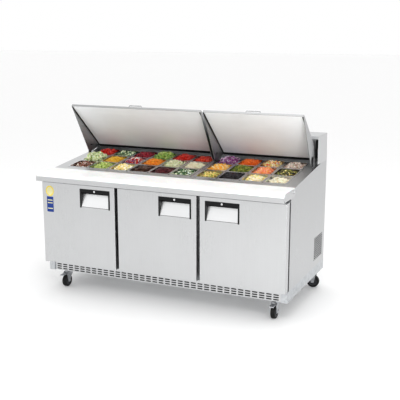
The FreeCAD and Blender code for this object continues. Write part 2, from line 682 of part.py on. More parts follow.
def door_hinges():
    """Plates above and below each door's hinged edge, each with a pin that enters the door."""
    wide = (D["width"] - 2 * D["door_gap"]) / 3
    pitch = wide + D["door_gap"]
    axes = [-HALF + D["pin_in"], -HALF + pitch + D["pin_in"], HALF - D["pin_in"]]
    pieces = []
    for axis in axes:
        x0, x1 = max(axis - 14, -HALF), min(axis + 14, HALF)
        y = back(D["pin_back"])
        for z, inside in ((D["door_bottom"] - 4, 15), (D["door_top"] + 1, -15)):
            plate = block(x0, back(2), z, x1, back(D["face_back"]), z + 3)
            tip = D["door_bottom"] + 15 if inside > 0 else D["door_top"] - 15
            pin = bar(D["pin_radius"], (axis, y, min(z, tip)), (axis, y, max(z + 3, tip)))
            pieces.append(plate.fuse(pin).removeSplitter())
    node("door_hinges", solid("hinges", Part.makeCompound(pieces)))


# ---------------------------------------------------------------- casters

def caster(corner, x, y, turn, braked):
    """A swivel caster: fork with axle, wheel, and on the front pair a foot lever."""
    trail, radius = D["caster_trail"], D["wheel_radius"]
    spin = Placement(Vector(x, y, 0), Rotation(Vector(0, 0, 1), turn))
    top, low = D["base_z"] - 23, D["base_z"] - 31
    crown = Part.makeCylinder(26, 8, Vector(0, 0, low))
    leg = [(20, top), (-36, top), (-54, top - 12), (-54, top - 24), (-trail - 14, radius + 6),
           (-trail - 9, radius - 10), (-trail + 9, radius - 10), (-trail + 14, radius + 6), (20, low)]
    fork = crown.fuse([prism(leg, -20, 3), prism(leg, 17, 3)])
    bridge = block(-20, -36, low + 4, 20, -10, top)
    fork = fork.fuse(bridge)
    holes = [Part.makeCylinder(D["kingpin_radius"] + D["fit"], 30, Vector(0, 0, low - 10)),
             bar(D["axle_radius"], (-30, -trail, radius), (30, -trail, radius))]
    pieces = []
    axle = bar(D["axle_radius"], (-24, -trail, radius), (24, -trail, radius))
    heads = [bar(8, (s * 20, -trail, radius), (s * 25, -trail, radius)) for s in (-1, 1)]
    pieces.append(axle.fuse(heads).removeSplitter())
    pivot = top - 14
    if braked:
        holes.append(bar(2.5, (-30, -46, pivot), (30, -46, pivot)))
        pieces.append(bar(2.5, (-21, -46, pivot), (21, -46, pivot)))
    fork = fork.cut(holes).removeSplitter()
    node(f"caster_{corner}_fork", solid(f"fork_{corner}", Part.makeCompound([fork] + pieces), spin))
    wheel(corner, spin, trail, radius)
    if braked:
        barrel = bar(5, (-15, -46, pivot), (15, -46, pivot))
        pedal = block(-15, -98, pivot, 15, -46, pivot + 4)
        tread = block(-15, -98, pivot - 4, 15, -94, pivot + 4)
        lever = barrel.fuse([pedal, tread]).cut(bar(2.55, (-30, -46, pivot), (30, -46, pivot)))
        node(f"caster_{corner}_lever", solid(f"lever_{corner}", lever.removeSplitter(), spin))


def wheel(corner, spin, trail, radius):
    body = doc.addObject("PartDesign::Body", f"wheel_{corner}")
    sketch = sketch_on(body, "XY_Plane", f"wheel_section_{corner}")
    rectangle(sketch, "wheel_width", "wheel_radius - axle_radius - fit", "1", "axle_radius + fit")
    turn = body.newObject("PartDesign::Revolution", f"wheel_turn_{corner}")
    turn.Profile = sketch
    turn.ReferenceAxis = (sketch, ["H_Axis"])
    turn.Angle = 360
    doc.recompute()
    rims = [f"Edge{n}" for n, e in enumerate(turn.Shape.Edges, start=1)
            if isinstance(e.Curve, Part.Circle) and e.Curve.Radius > radius - 1]
    rounded = body.newObject("PartDesign::Fillet", f"wheel_rounding_{corner}")
    rounded.Base = (turn, rims)
    rounded.Radius = 6
    body.Tip = rounded
    body.Placement = spin.multiply(Placement(Vector(-D["wheel_width"] / 2 - 1, -trail, radius), Rotation()))
    node(f"caster_{corner}_wheel", body)


def casters():
    """The front pair trail forwards and the rear pair outwards."""
    front_x, front_y = HALF - D["front_in"], back(D["front_at"])
    rear_x, rear_y = HALF - D["rear_in"], back(D["rear_at"])
    caster("front_left", -front_x, front_y, 0, True)
    caster("front_right", front_x, front_y, 0, True)
    caster("rear_left", -rear_x, rear_y, -90, False)
    caster("rear_right", rear_x, rear_y, 90, False)


# ---------------------------------------------------------------- refrigeration

def finned_block(x0, y0, z0, x1, y1, z1, pitch):
    """A coil: fins across X, cut as narrow grooves into both broad faces of a block."""
    coil = block(x0, y0, z0, x1, y1, z1)
    middle = (y0 + y1) / 2
    grooves = []
    for step in range(1, int((x1 - x0) / pitch)):
        x = x0 + step * pitch
        grooves.append(block(x, y0 - 1, z0 + 6, x + pitch / 2, middle - 4, z1 - 6))
        grooves.append(block(x, middle + 4, z0 + 6, x + pitch / 2, y1 + 1, z1 - 6))
    return coil.cut(Part.makeCompound(grooves))


def fan(radius, hub, deep, bore, blades=5):
    """A fan on the Z axis with pitched blades."""
    body = Part.makeCylinder(hub, deep)
    for number in range(blades):
        blade = block(hub - 3, -radius * 0.3, -1, radius, radius * 0.3, 1)
        blade.rotate(Vector(), Vector(1, 0, 0), 28)
        blade.translate(Vector(0, 0, deep / 2))
        blade.rotate(Vector(), Vector(0, 0, 1), 360 * number / blades)
        body = body.fuse(blade)
    limit = Part.makeCylinder(radius, 4 * deep, Vector(0, 0, -1.5 * deep))
    return body.common(limit).cut(Part.makeCylinder(bore, 4 * deep, Vector(0, 0, -1.5 * deep)))


CONDENSER = Vector(0, 0, 325)


def condenser():
    """Coil behind the side vent, with its shroud, motor and motor struts; the fan runs between."""
    y, z = back(762), CONDENSER.z
    coil = finned_block(-112, -16, -120, 112, 16, 120, 11)
    coil.Placement = Placement(Vector(868, y, z), Rotation(Vector(0, 0, 1), 90))
    shroud = block(836, y - 112, z - 120, 852, y + 112, z + 120)
    shroud = shroud.cut(bar(102, (830, y, z), (860, y, z)))
    motor = bar(36, (716, y, z), (786, y, z)).fuse(bar(4, (780, y, z), (830, y, z)))
    struts = []
    for turn in (45, 135, 225, 315):
        dy, dz = math.cos(math.radians(turn)), math.sin(math.radians(turn))
        struts.append(bar(3, (750, y + 33 * dy, z + 33 * dz), (750, y + 140 * dy, z + 140 * dz)))
        struts.append(bar(3, (750, y + 140 * dy, z + 140 * dz), (840, y + 140 * dy, z + 140 * dz)))
    motor = motor.fuse(struts).removeSplitter()
    node("condenser", solid("condenser_set", Part.makeCompound([coil, shroud, motor])))
    blades = fan(94, 22, 22, 4 + D["fit"])
    spin = Placement(Vector(798, y, z), TURNS["x"])
    node("condenser_fan", solid("condenser_blades", blades, spin))


def compressor():
    x, y, z = 560, back(760), BASE_TOP
    can = Part.makeCylinder(76, 120, Vector(x, y, z + 36))
    dome = Part.makeSphere(100, Vector(x, y, z + 91)).common(
        Part.makeCylinder(76, 200, Vector(x, y, z + 12)))
    foot = block(x - 95, y - 60, z + 10, x + 95, y + 60, z + 14)
    body = can.fuse([dome, foot])
    for dx in (-80, 80):
        for dy in (-46, 46):
            body = body.fuse(Part.makeCylinder(9, 12, Vector(x + dx, y + dy, z)))
    tube = 5
    path = [(x, y + 40, z + 120), (x, y + 40, z + 235), (700, y + 40, z + 235), (700, y + 40, z + 110)]
    for a, b in zip(path, path[1:]):
        body = body.fuse([bar(tube, a, b), Part.makeSphere(tube, Vector(*b))])
    node("compressor", solid("compressor_set", body.removeSplitter()))


def evaporator():
    """Coil high in the cabinet's rear, with a ported cover and a motor held in front of it."""
    y, z = back(505), 655
    coil = finned_block(-260, y, z - 55, 260, y + 66, z + 55, 13)
    cover = block(-262, y - 6, z - 58, 262, y, z + 58).cut(bar(52, (0, y - 20, z), (0, y + 20, z)))
    motor = bar(20, (0, y - 70, z), (0, y - 40, z)).fuse(bar(3, (0, y - 42, z), (0, y - 12, z)))
    for turn in (0, 120, 240):
        dx, dz = math.cos(math.radians(turn)), math.sin(math.radians(turn))
        reach = 54 if turn else 60
        motor = motor.fuse([
            bar(2.5, (17 * dx, y - 55, z + 17 * dz), (reach * dx, y - 55, z + reach * dz)),
            bar(2.5, (reach * dx, y - 55, z + reach * dz), (reach * dx, y - 5, z + reach * dz)),
        ])
    node("evaporator", solid("evaporator_set", Part.makeCompound([coil, cover, motor.removeSplitter()])))
    blades = fan(48, 12, 14, 3 + D["fit"])
    spin = Placement(Vector(0, y - 34, z), TURNS["y"])
    node("evaporator_fan", solid("evaporator_blades", blades, spin))


def control_box():
    """The electrical box on the back panel, and the power inlet set into the panel."""
    case = block(-320, back(812), 290, -80, back(870), 440)
    case = case.cut(block(-316, back(816), 294, -84, back(866), 436))
    lid_plate = block(-322, back(870), 288, -78, back(873), 442)
    inlet = block(-230, back(873), 340, -190, back(899), 368)
    inlet = inlet.cut(block(-224, back(886), 345, -196, back(905), 363))
    stand = block(-210, back(820), BASE_TOP, -190, back(860), 290)
    node("control_box", solid("controls", Part.makeCompound([case, lid_plate, inlet, stand])))


# ---------------------------------------------------------------- build and export

base_frame()
front_grille()
side_panels()
back_panel()
insulated_liner()
door_frame()
wire_shelves()
board_shelf()
cutting_board()
pan_deck()
pan_well()
pan_rows()
hood()
lid_pivots()
lid("left", -D["lid_side"], D["lid_split"] - D["lid_clear"])
lid("right", D["lid_split"] + D["lid_clear"], D["lid_side"])
door("door_left", 0, "left")
door("door_centre", 1, "left")
door("door_right", 2, "right")
door_hinges()
casters()
condenser()
compressor()
evaporator()
control_box()
doc.recompute()

for thing in doc.Objects:
    if {"Invalid", "Error"} & set(thing.State):
        raise SystemExit(f"{thing.Label} failed: {thing.State}")
for thing in NODES:
    if thing.Shape.isNull() or not thing.Shape.isValid() or not thing.Shape.Solids:
        raise SystemExit(f"{thing.Label} has no valid solid")

os.makedirs("parts", exist_ok=True)
for thing in NODES:
    thing.Shape.exportStep(f"parts/{thing.Label}.step")
    bounds = thing.Shape.BoundBox
    print(f"{thing.Label:26s} solids {len(thing.Shape.Solids):3d}  "
          f"x {bounds.XMin:8.1f} {bounds.XMax:8.1f}  y {bounds.YMin:8.1f} {bounds.YMax:8.1f}  "
          f"z {bounds.ZMin:8.1f} {bounds.ZMax:8.1f}")
print(len(NODES), "nodes")
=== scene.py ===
"""Looks of the refrigerated sandwich prep table: finishes, food, small hardware, camera and light."""
import json
import math
import random

import bmesh
import bpy
from mathutils import Euler, Matrix, Vector, noise


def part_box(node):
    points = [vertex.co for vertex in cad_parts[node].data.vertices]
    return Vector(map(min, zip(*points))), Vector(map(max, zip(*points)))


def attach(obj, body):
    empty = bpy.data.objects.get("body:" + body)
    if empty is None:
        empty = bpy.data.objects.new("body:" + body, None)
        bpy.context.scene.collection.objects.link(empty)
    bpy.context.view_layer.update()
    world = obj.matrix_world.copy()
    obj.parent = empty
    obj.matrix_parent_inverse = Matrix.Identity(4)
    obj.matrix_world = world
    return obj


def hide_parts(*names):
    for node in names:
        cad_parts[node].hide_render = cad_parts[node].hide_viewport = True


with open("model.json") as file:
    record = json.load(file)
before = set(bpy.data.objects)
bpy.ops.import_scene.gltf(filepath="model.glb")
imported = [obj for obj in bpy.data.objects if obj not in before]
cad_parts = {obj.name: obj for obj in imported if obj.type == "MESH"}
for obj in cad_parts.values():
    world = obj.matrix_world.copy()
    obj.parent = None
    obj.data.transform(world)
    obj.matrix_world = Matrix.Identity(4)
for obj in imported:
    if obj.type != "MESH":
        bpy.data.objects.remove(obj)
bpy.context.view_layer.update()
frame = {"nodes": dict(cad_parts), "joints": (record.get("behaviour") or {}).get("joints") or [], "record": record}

NODES = frame["nodes"]
JOINTS = {joint["name"]: joint for joint in frame["joints"]}

# ------------------------------------------------------------------ camera

CAMERA_PLACE = (2.301, -4.814, 1.822)
CAMERA_TURN = 24.26
CAMERA_DOWN = 12.34
CAMERA_LENS = 69.1

camera = bpy.data.objects.new("camera", bpy.data.cameras.new("camera"))
camera.location = CAMERA_PLACE
camera.rotation_euler = Euler((math.radians(90 - CAMERA_DOWN), 0, math.radians(CAMERA_TURN)))
camera.data.lens = CAMERA_LENS
camera.data.sensor_width = 36
camera.data.clip_end = 200
bpy.context.collection.objects.link(camera)
bpy.context.scene.camera = camera

# ------------------------------------------------------------------ finishes


class Finish:
    """A material being made: its principled shader, and short ways to add the textures that drive it."""

    def __init__(self, name, colour, roughness, metallic=0.0, **sockets):
        self.material = bpy.data.materials.new(name)
        self.material.use_nodes = True
        self.tree = self.material.node_tree
        self.shader = self.tree.nodes["Principled BSDF"]
        self.set("Base Color", (*colour, 1))
        self.set("Roughness", roughness)
        self.set("Metallic", metallic)
        for socket, value in sockets.items():
            self.set(socket.replace("_", " "), value)
        self.place = self.add("ShaderNodeTexCoord").outputs["Object"]
        self.height = None

    def add(self, kind, **settings):
        made = self.tree.nodes.new(kind)
        for key, value in settings.items():
            setattr(made, key, value)
        return made

    def link(self, source, target):
        self.tree.links.new(source, target)

    def set(self, socket, value):
        self.shader.inputs[socket].default_value = value

    def stretched(self, x, y, z):
        """The row frame's coordinates, scaled along each axis."""
        mapping = self.add("ShaderNodeMapping")
        mapping.inputs["Scale"].default_value = (x, y, z)
        self.link(self.place, mapping.inputs["Vector"])
        return mapping.outputs["Vector"]

    def noise(self, scale, detail=3.0, vector=None):
        made = self.add("ShaderNodeTexNoise")
        made.inputs["Scale"].default_value = scale
        made.inputs["Detail"].default_value = detail
        self.link(vector or self.place, made.inputs["Vector"])
        return made.outputs["Fac"]

    def cells(self, scale):
        """A grey level for each cell of a crystal pattern, and a second one for its relief."""
        made = self.add("ShaderNodeTexVoronoi", feature="F1")
        made.inputs["Scale"].default_value = scale
        self.link(self.place, made.inputs["Vector"])
        parts = self.add("ShaderNodeSeparateColor")
        self.link(made.outputs["Color"], parts.inputs[0])
        return parts.outputs[0], parts.outputs[1]

    def span(self, factor, low, high, start=0.3, end=0.7):
        """factor from start to end, spread over low to high."""
        made = self.add("ShaderNodeMapRange")
        made.inputs["From Min"].default_value = start
        made.inputs["From Max"].default_value = end
        made.inputs["To Min"].default_value = low
        made.inputs["To Max"].default_value = high
        self.link(factor, made.inputs["Value"])
        return made.outputs["Result"]

    def ramp(self, factor, *stops):
        """Colours along factor; each stop is (position, (r, g, b))."""
        made = self.add("ShaderNodeValToRGB")
        elements = made.color_ramp.elements
        while len(elements) < len(stops):
            elements.new(0.5)
        for element, (position, colour) in zip(elements, stops):
            element.position = position
            element.color = (*colour, 1)
        self.link(factor, made.inputs["Fac"])
        return made.outputs["Color"]

    def blend(self, factor, first, second):
        """first where factor is 0 and second where it is 1."""
        made = self.add("ShaderNodeMix", data_type="RGBA")
        self.link(factor, made.inputs[0])
        self.link(first, made.inputs[6])
        self.link(second, made.inputs[7])
        return made.outputs[2]

    def maths(self, operation, *values):
        made = self.add("ShaderNodeMath", operation=operation)
        for socket, value in zip(made.inputs, values):
            if isinstance(value, (int, float)):
                socket.default_value = value
            else:
                self.link(value, socket)
        return made.outputs[0]

    def colour(self, source):
        self.link(source, self.shader.inputs["Base Color"])

    def rough(self, source):
        self.link(source, self.shader.inputs["Roughness"])

    def bump(self, height, distance, strength=1.0):
        """Adds one more layer of relief, distance metres deep."""
        made = self.add("ShaderNodeBump")
        made.inputs["Strength"].default_value = strength
        made.inputs["Distance"].default_value = distance
        self.link(height, made.inputs["Height"])
        if self.height is not None:
            self.link(self.height, made.inputs["Normal"])
        self.height = made.outputs["Normal"]
        self.link(self.height, self.shader.inputs["Normal"])


def shades(colour, spread):
    """A darker and a lighter version of a colour."""
    return tuple(c * (1 - spread) for c in colour), tuple(min(1.0, c * (1 + spread)) for c in colour)


def brushed(name, grain, colour=(0.62, 0.625, 0.63), roughness=0.3, wave=0.0006):
    """Sheet steel brushed along one axis: streaks, faint smears, and the slight waviness of thin sheet."""
    finish = Finish(name, colour, roughness, metallic=1.0)
    scale = [900.0, 900.0, 900.0]
    scale[grain] = 5.0
    streaks = finish.noise(1.0, 4.0, finish.stretched(*scale))
    smears = finish.noise(3.5, 3.0)
    dark, light = shades(colour, 0.035)
    finish.colour(finish.ramp(finish.maths("ADD", finish.maths("MULTIPLY", streaks, 0.5),
                                           finish.maths("MULTIPLY", smears, 0.5)),
                              (0.35, dark), (0.65, light)))
    finish.rough(finish.span(finish.maths("ADD", finish.maths("MULTIPLY", streaks, 0.4),
                                          finish.maths("MULTIPLY", smears, 0.6)),
                             roughness - 0.07, roughness + 0.09))
    finish.bump(streaks, 0.00002, 0.5)
    finish.bump(finish.noise(1.7, 1.0), wave)
    return finish.material


def satin_lining():
    """The lids' inner sheet: fine-grained satin steel that spreads what it mirrors into a soft grey."""
    finish = Finish("lid_lining", (0.62, 0.62, 0.62), 0.6, metallic=0.12)
    grain = finish.noise(1.0, 4.0, finish.stretched(6.0, 800.0, 800.0))
    cloud = finish.noise(4.0, 4.0)
    finish.colour(finish.ramp(finish.maths("ADD", finish.maths("MULTIPLY", grain, 0.4),
                                           finish.maths("MULTIPLY", cloud, 0.6)),
                              (0.35, (0.8, 0.81, 0.82)), (0.65, (0.87, 0.88, 0.89))))
    finish.rough(finish.span(grain, 0.5, 0.68))
    finish.bump(grain, 0.00003, 0.5)
    return finish.material


def galvanized():
    """Zinc-coated sheet with its crystal spangle."""
    finish = Finish("galvanized_sheet", (0.6, 0.62, 0.64), 0.42, metallic=1.0)
    grey, relief = finish.cells(60.0)
    fine = finish.noise(35.0, 4.0)
    finish.colour(finish.ramp(grey, (0.0, (0.53, 0.545, 0.56)), (1.0, (0.62, 0.635, 0.65))))
    finish.rough(finish.span(fine, 0.32, 0.5))
    finish.bump(relief, 0.00002, 0.3)
    return finish.material


def embossed_liner(name, colour, metallic, roughness):
    """The pebbled inner sheet of a cold cabinet."""
    finish = Finish(name, colour, roughness, metallic)
    pebbles = finish.noise(420.0, 2.0)
    stains = finish.noise(6.0, 4.0)
    dark, light = shades(colour, 0.07)
    finish.colour(finish.ramp(stains, (0.35, dark), (0.65, light)))
    finish.rough(finish.span(stains, roughness - 0.06, roughness + 0.08))
    finish.bump(pebbles, 0.0003, 0.5)
    return finish.material


def moulded(name, colour, roughness=0.42, grain=900.0, depth=0.0001, speck=0.15, **sockets):
    """Moulded plastic: fine spark-eroded grain, faint streaks of colour, and worn patches."""
    finish = Finish(name, colour, roughness, **sockets)
    worn = finish.noise(18.0, 5.0)
    dark, light = shades(colour, speck)
    finish.colour(finish.ramp(worn, (0.35, dark), (0.7, light)))
    finish.rough(finish.span(worn, roughness - 0.08, roughness + 0.1))
    finish.bump(finish.noise(grain, 2.0), depth, 0.5)
    return finish.material


def rubber(name="black_rubber", colour=(0.008, 0.008, 0.009), ribs=None):
    """Soft black vinyl or rubber, dusty where it's rough; ribs is the axis across which it has fine ribs."""
    finish = Finish(name, colour, 0.6, Specular_IOR_Level=0.2)
    dust = finish.noise(30.0, 5.0)
    finish.colour(finish.ramp(dust, (0.4, colour), (0.85, tuple(c + 0.015 for c in colour))))
    finish.rough(finish.span(dust, 0.5, 0.72))
    finish.bump(finish.noise(700.0, 2.0), 0.0001, 0.4)
    if ribs is not None:
        lines = finish.add("ShaderNodeTexWave", bands_direction="XYZ"[ribs])
        lines.inputs["Scale"].default_value = 60.0
        finish.link(finish.place, lines.inputs["Vector"])
        finish.bump(lines.outputs["Fac"], 0.0004, 0.6)
    return finish.material


def polyethylene():
    """The cutting board: white, waxy, with fine crossing knife scores and faint stains."""
    finish = Finish("board_polyethylene", (0.9, 0.9, 0.885), 0.45,
                    Subsurface_Weight=0.15, Subsurface_Scale=0.01)
    stains = finish.noise(7.0, 4.0)
    finish.colour(finish.ramp(stains, (0.3, (0.8, 0.8, 0.79)), (0.6, (0.88, 0.88, 0.87))))
    scores = finish.noise(1.0, 2.0, finish.stretched(14.0, 700.0, 1.0))
    across = finish.noise(1.0, 2.0, finish.stretched(600.0, 25.0, 1.0))
    finish.rough(finish.span(scores, 0.36, 0.56))
    finish.bump(scores, 0.0002, 0.35)
    finish.bump(across, 0.0002, 0.3)
    return finish.material


def plated(name, colour, roughness, mottle=25.0):
    """Bright metal plating, a little cloudy and scuffed."""
    finish = Finish(name, colour, roughness, metallic=1.0)
    cloud = finish.noise(mottle, 5.0)
    dark, light = shades(colour, 0.12)
    finish.colour(finish.ramp(cloud, (0.3, dark), (0.7, light)))
    finish.rough(finish.span(cloud, roughness * 0.7, roughness * 1.4))
    finish.bump(finish.noise(260.0, 3.0), 0.00006, 0.4)
    return finish.material


def painted(name, colour, roughness=0.4):
    """Stoved paint with slight orange peel, chipped lighter on its high spots."""
    finish = Finish(name, colour, roughness, Coat_Weight=0.2, Coat_Roughness=0.2)
    peel = finish.noise(180.0, 2.0)
    dirt = finish.noise(12.0, 6.0)
    dark, light = shades(colour, 0.25)
    finish.colour(finish.ramp(dirt, (0.35, dark), (0.65, light)))
    finish.rough(finish.span(dirt, roughness - 0.1, roughness + 0.15))
    finish.bump(peel, 0.0001, 0.5)
    return finish.material


def finned(name, axis):
    """A finned coil: thin plates side by side along an axis, with painted shade in the dark bands between the
    plates.
    """
    finish = Finish(name, (0.7, 0.71, 0.72), 0.4, metallic=1.0)
    fins = finish.add("ShaderNodeTexWave", bands_direction="XYZ"[axis])
    fins.inputs["Scale"].default_value = 100.0
    finish.link(finish.place, fins.inputs["Vector"])
    # The dark bands between the fins are painted shade; the light bands are the fins' own metal.
    finish.colour(finish.ramp(fins.outputs["Fac"], (0.2, (0.18, 0.185, 0.19)), (0.7, (0.72, 0.73, 0.74))))
    finish.rough(finish.span(finish.noise(25.0), 0.3, 0.5))
    finish.bump(fins.outputs["Fac"], 0.0008, 0.8)
    return finish.material


def wheel_finish(name, axle, across_axis, tread_radius, hub_radius):
    """A caster wheel: black rubber tread round a grey centre, told apart by the distance from the axle."""
    finish = Finish(name, (0.03, 0.03, 0.03), 0.6, Specular_IOR_Level=0.25)
    parts = finish.add("ShaderNodeSeparateXYZ")
    finish.link(finish.place, parts.inputs[0])
    across = finish.maths("SUBTRACT", parts.outputs[across_axis], axle[across_axis])
    above = finish.maths("SUBTRACT", parts.outputs[2], axle.z)
    reach = finish.maths("SQRT", finish.maths("ADD", finish.maths("MULTIPLY", across, across),
                                              finish.maths("MULTIPLY", above, above)))
    worn = finish.noise(45.0, 5.0)
    tread = finish.ramp(worn, (0.35, (0.006, 0.006, 0.007)), (0.75, (0.022, 0.022, 0.021)))
    centre = finish.ramp(worn, (0.35, (0.035, 0.035, 0.038)), (0.7, (0.07, 0.07, 0.075)))
    outside = finish.span(reach, 0.0, 1.0, hub_radius, tread_radius)
    finish.colour(finish.blend(outside, centre, tread))
    finish.rough(finish.span(worn, 0.45, 0.75))
    finish.bump(finish.noise(500.0, 2.0), 0.0002, 0.5)
    return finish.material


STEEL_X = brushed("stainless_along", 0)
STEEL_Y = brushed("stainless_deep", 1)
STEEL_Z = brushed("stainless_upright", 2, wave=0.0009)
# The finger plates are a lighter copy of the door steel: painted light on the pulls' sloped floors.
PLATE_STEEL = brushed("finger_plate_stainless_painted_light", 0, (0.86, 0.865, 0.87), 0.34, 0.0002)
PAN_STEEL = brushed("pan_stainless", 0, (0.7, 0.705, 0.71), 0.22, 0.0003)
LID_LINING = satin_lining()
HANDLE_STEEL = plated("handle_stainless", (0.68, 0.685, 0.69), 0.22)
GALVANIZED = galvanized()
CABINET_LINER = embossed_liner("cabinet_liner", (0.8, 0.81, 0.82), 0.85, 0.42)
DOOR_LINING = embossed_liner("door_lining", (0.8, 0.81, 0.82), 0.0, 0.4)
SHELF_COATING = moulded("shelf_epoxy", (0.74, 0.76, 0.77), 0.35, speck=0.06)
RUBBER = rubber()
GASKET = rubber("door_gasket_vinyl", (0.006, 0.006, 0.007), ribs=1)
BLACK_PLASTIC = moulded("black_plastic", (0.009, 0.009, 0.01), 0.42, Specular_IOR_Level=0.3)
CHROME = plated("lock_chrome", (0.8, 0.8, 0.81), 0.14)
BOARD = polyethylene()
ZINC = plated("zinc_plate", (0.56, 0.57, 0.59), 0.36)
BLACK_PAINT = painted("black_paint", (0.03, 0.03, 0.033))
FILTER = rubber("black_filter", (0.004, 0.004, 0.005))
YELLOW_LABEL = moulded("yellow_label", (0.78, 0.62, 0.08), 0.4, speck=0.1)
BLUE_LABEL = moulded("blue_label", (0.012, 0.05, 0.26), 0.4, speck=0.12)
PALE_LABEL = moulded("pale_label", (0.72, 0.68, 0.4), 0.45, speck=0.08)
# The lid panels' steel is a darker copy of the stainless: painted shade on the lids' sheets and rims.
LID_STEEL = brushed("lid_stainless_painted_shade", 0, (0.5, 0.505, 0.51), 0.36)
# The side panels' steel is a darker copy of the doors' steel: painted shade for the cabinet's dimmer sides.
SIDE_STEEL = brushed("side_stainless_painted_shade", 2, (0.56, 0.565, 0.57), wave=0.0009)
COIL_X = finned("coil_fins", 0)
COIL_Y = finned("condenser_fins", 1)

FINISHES = {
    "stainless": STEEL_X, "galvanized": GALVANIZED, "cabinet_liner": CABINET_LINER,
    "shelf_wire": SHELF_COATING, "lid_lining": LID_LINING, "black_rubber": RUBBER,
    "handle_steel": HANDLE_STEEL, "door_lining": DOOR_LINING, "black_plastic": BLACK_PLASTIC,
    "lock_chrome": CHROME, "white_board": BOARD, "pan_steel": PAN_STEEL, "food": BOARD,
    "coil_aluminium": COIL_X, "black_paint": BLACK_PAINT, "zinc": ZINC, "caster_tread": RUBBER,
}
SPECIAL = {
    "side_panel_left": SIDE_STEEL, "side_panel_right": SIDE_STEEL, "back_panel": GALVANIZED,
    "lid_left_panel": LID_STEEL, "lid_right_panel": LID_STEEL, "lid_pivots": BLACK_PAINT,
    "door_left_skin": STEEL_Z, "door_centre_skin": STEEL_Z, "door_right_skin": STEEL_Z,
    "door_left_gasket": GASKET, "door_centre_gasket": GASKET, "door_right_gasket": GASKET,
    "pan_deck": STEEL_Y, "condenser": COIL_Y,
}


def finish_node(name, material):
    """One finish over a whole CAD node."""
    node = NODES[name]
    if not node.material_slots:
        node.data.materials.append(material)
    for holder in node.material_slots:
        holder.material = material


for subpart in frame["record"]["subparts"]:
    finish_node(subpart["node"], SPECIAL.get(subpart["node"], FINISHES[subpart["material_slot"]]))

WHEEL_TREAD, WHEEL_HUB = 0.0335, 0.0325
for corner in ("front_left", "front_right", "rear_left", "rear_right"):
    wheel = f"caster_{corner}_wheel"
    low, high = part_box(wheel)
    across_axis = 1 if corner.startswith("front") else 0
    finish_node(wheel, wheel_finish(wheel, (low + high) / 2, across_axis, WHEEL_TREAD, WHEEL_HUB))

# ------------------------------------------------------------------ softened edges

EDGES = {
    "door_left_skin": 0.9, "door_centre_skin": 0.9, "door_right_skin": 0.9, "cutting_board": 2.5,
    "hood": 1.2, "board_shelf": 0.8, "pan_deck": 0.6, "base_frame": 0.8,
}
WELD_REACH, ROUND_STEPS, SHARP_ANGLE = 0.00001, 3, math.radians(50)


def soften(node, width):
    """Rounds a CAD node's sharp edges by width millimetres, as folded sheet has them."""
    weld = node.modifiers.new("weld", "WELD")
    weld.merge_threshold = WELD_REACH
    edge = node.modifiers.new("edge", "BEVEL")
    edge.width = width / 1000
    edge.segments = ROUND_STEPS
    edge.limit_method = "ANGLE"
    edge.angle_limit = SHARP_ANGLE
    edge.harden_normals = True
    edge.use_clamp_overlap = True


for name, width in EDGES.items():
    soften(NODES[name], width)

# ------------------------------------------------------------------ small solids for the food


SMOOTH_ANGLE = math.radians(40)


class Solids:
    """Many small closed solids gathered into one mesh, each face with its own finish."""

    def __init__(self):
        self.points = []
        self.faces = []
        self.finishes = []

    def add(self, points, faces, finishes, pose):
        start = len(self.points)
        self.points += [pose @ Vector(point) for point in points]
        self.faces += [tuple(start + corner for corner in face) for face in faces]
        self.finishes += finishes

    def make(self, name, materials):
        mesh = bpy.data.meshes.new(name)
        mesh.from_pydata(self.points, [], self.faces)
        for material in materials:
            mesh.materials.append(material)
        mesh.polygons.foreach_set("material_index", self.finishes)
        mesh.polygons.foreach_set("use_smooth", [True] * len(self.faces))
        mesh.set_sharp_from_angle(angle=SMOOTH_ANGLE)
        piece = bpy.data.objects.new(name, mesh)
        bpy.context.collection.objects.link(piece)
        return piece


def tube_solid(stations, sides=4, closed=False):
    """Points and faces of a tube through rings of points; closed joins the last ring to the first."""
    points = [point for ring in stations for point in ring]
    count = len(stations)
    faces = []
    for ring in range(count if closed else count - 1):
        after = (ring + 1) % count
        for side in range(sides):
            beside = (side + 1) % sides
            faces.append((ring * sides + side, ring * sides + beside,
                          after * sides + beside, after * sides + side))
    if not closed:
        faces.append(tuple(reversed(range(sides))))
        faces.append(tuple(range((count - 1) * sides, count * sides)))
    return points, faces


def strip(draw, long, wide, thick, bend=0.9):
    """A curved strip, such as shredded cheese or sliced pepper."""
    turn = draw.uniform(0.2, 1.0) * bend
    stations = []
    for step in range(5):
        share = step / 4 - 0.5
        angle = share * 2 * turn
        radius = long / (2 * turn)
        x, y = radius * math.sin(angle), radius * (math.cos(angle) - 1)
        out = Vector((math.sin(angle), math.cos(angle), 0)) * wide / 2
        middle = Vector((x, y, draw.uniform(-0.1, 0.1) * thick))
        up = Vector((0, 0, thick / 2))
        stations.append([middle - out - up, middle + out - up, middle + out + up, middle - out + up])
    points, faces = tube_solid(stations)
    return points, faces, [0] * len(faces)


def chunk(draw, long, wide, thick):
    """An uneven cut cube."""
    points = []
    for z in (-1, 1):
        for x, y in ((-1, -1), (1, -1), (1, 1), (-1, 1)):
            spread = draw.uniform(0.8, 1.1)
            points.append((x * long / 2 * spread, y * wide / 2 * spread, z * thick / 2 * spread))
    faces = [(0, 3, 2, 1), (4, 5, 6, 7), (0, 1, 5, 4), (1, 2, 6, 5), (2, 3, 7, 6), (3, 0, 4, 7)]
    return points, faces, [0, 1, 0, 0, 0, 0]


def ring(draw, long, wide, thick, sides=16):
    """A cut ring with its skin outside, such as an onion's or a sliced olive's."""
    stations = []
    squash = draw.uniform(0.75, 1.0)
    for step in range(sides):
        angle = 2 * math.pi * step / sides
        out = Vector((math.cos(angle), math.sin(angle) * squash, 0))
        inner, outer = out * (long / 2 - wide), out * long / 2
        up = Vector((0, 0, thick / 2))
        stations.append([inner - up, outer - up, outer + up, inner + up])
    points, faces = tube_solid(stations, closed=True)
    return points, faces, [1 if number % 4 == 1 else 0 for number in range(len(faces))]


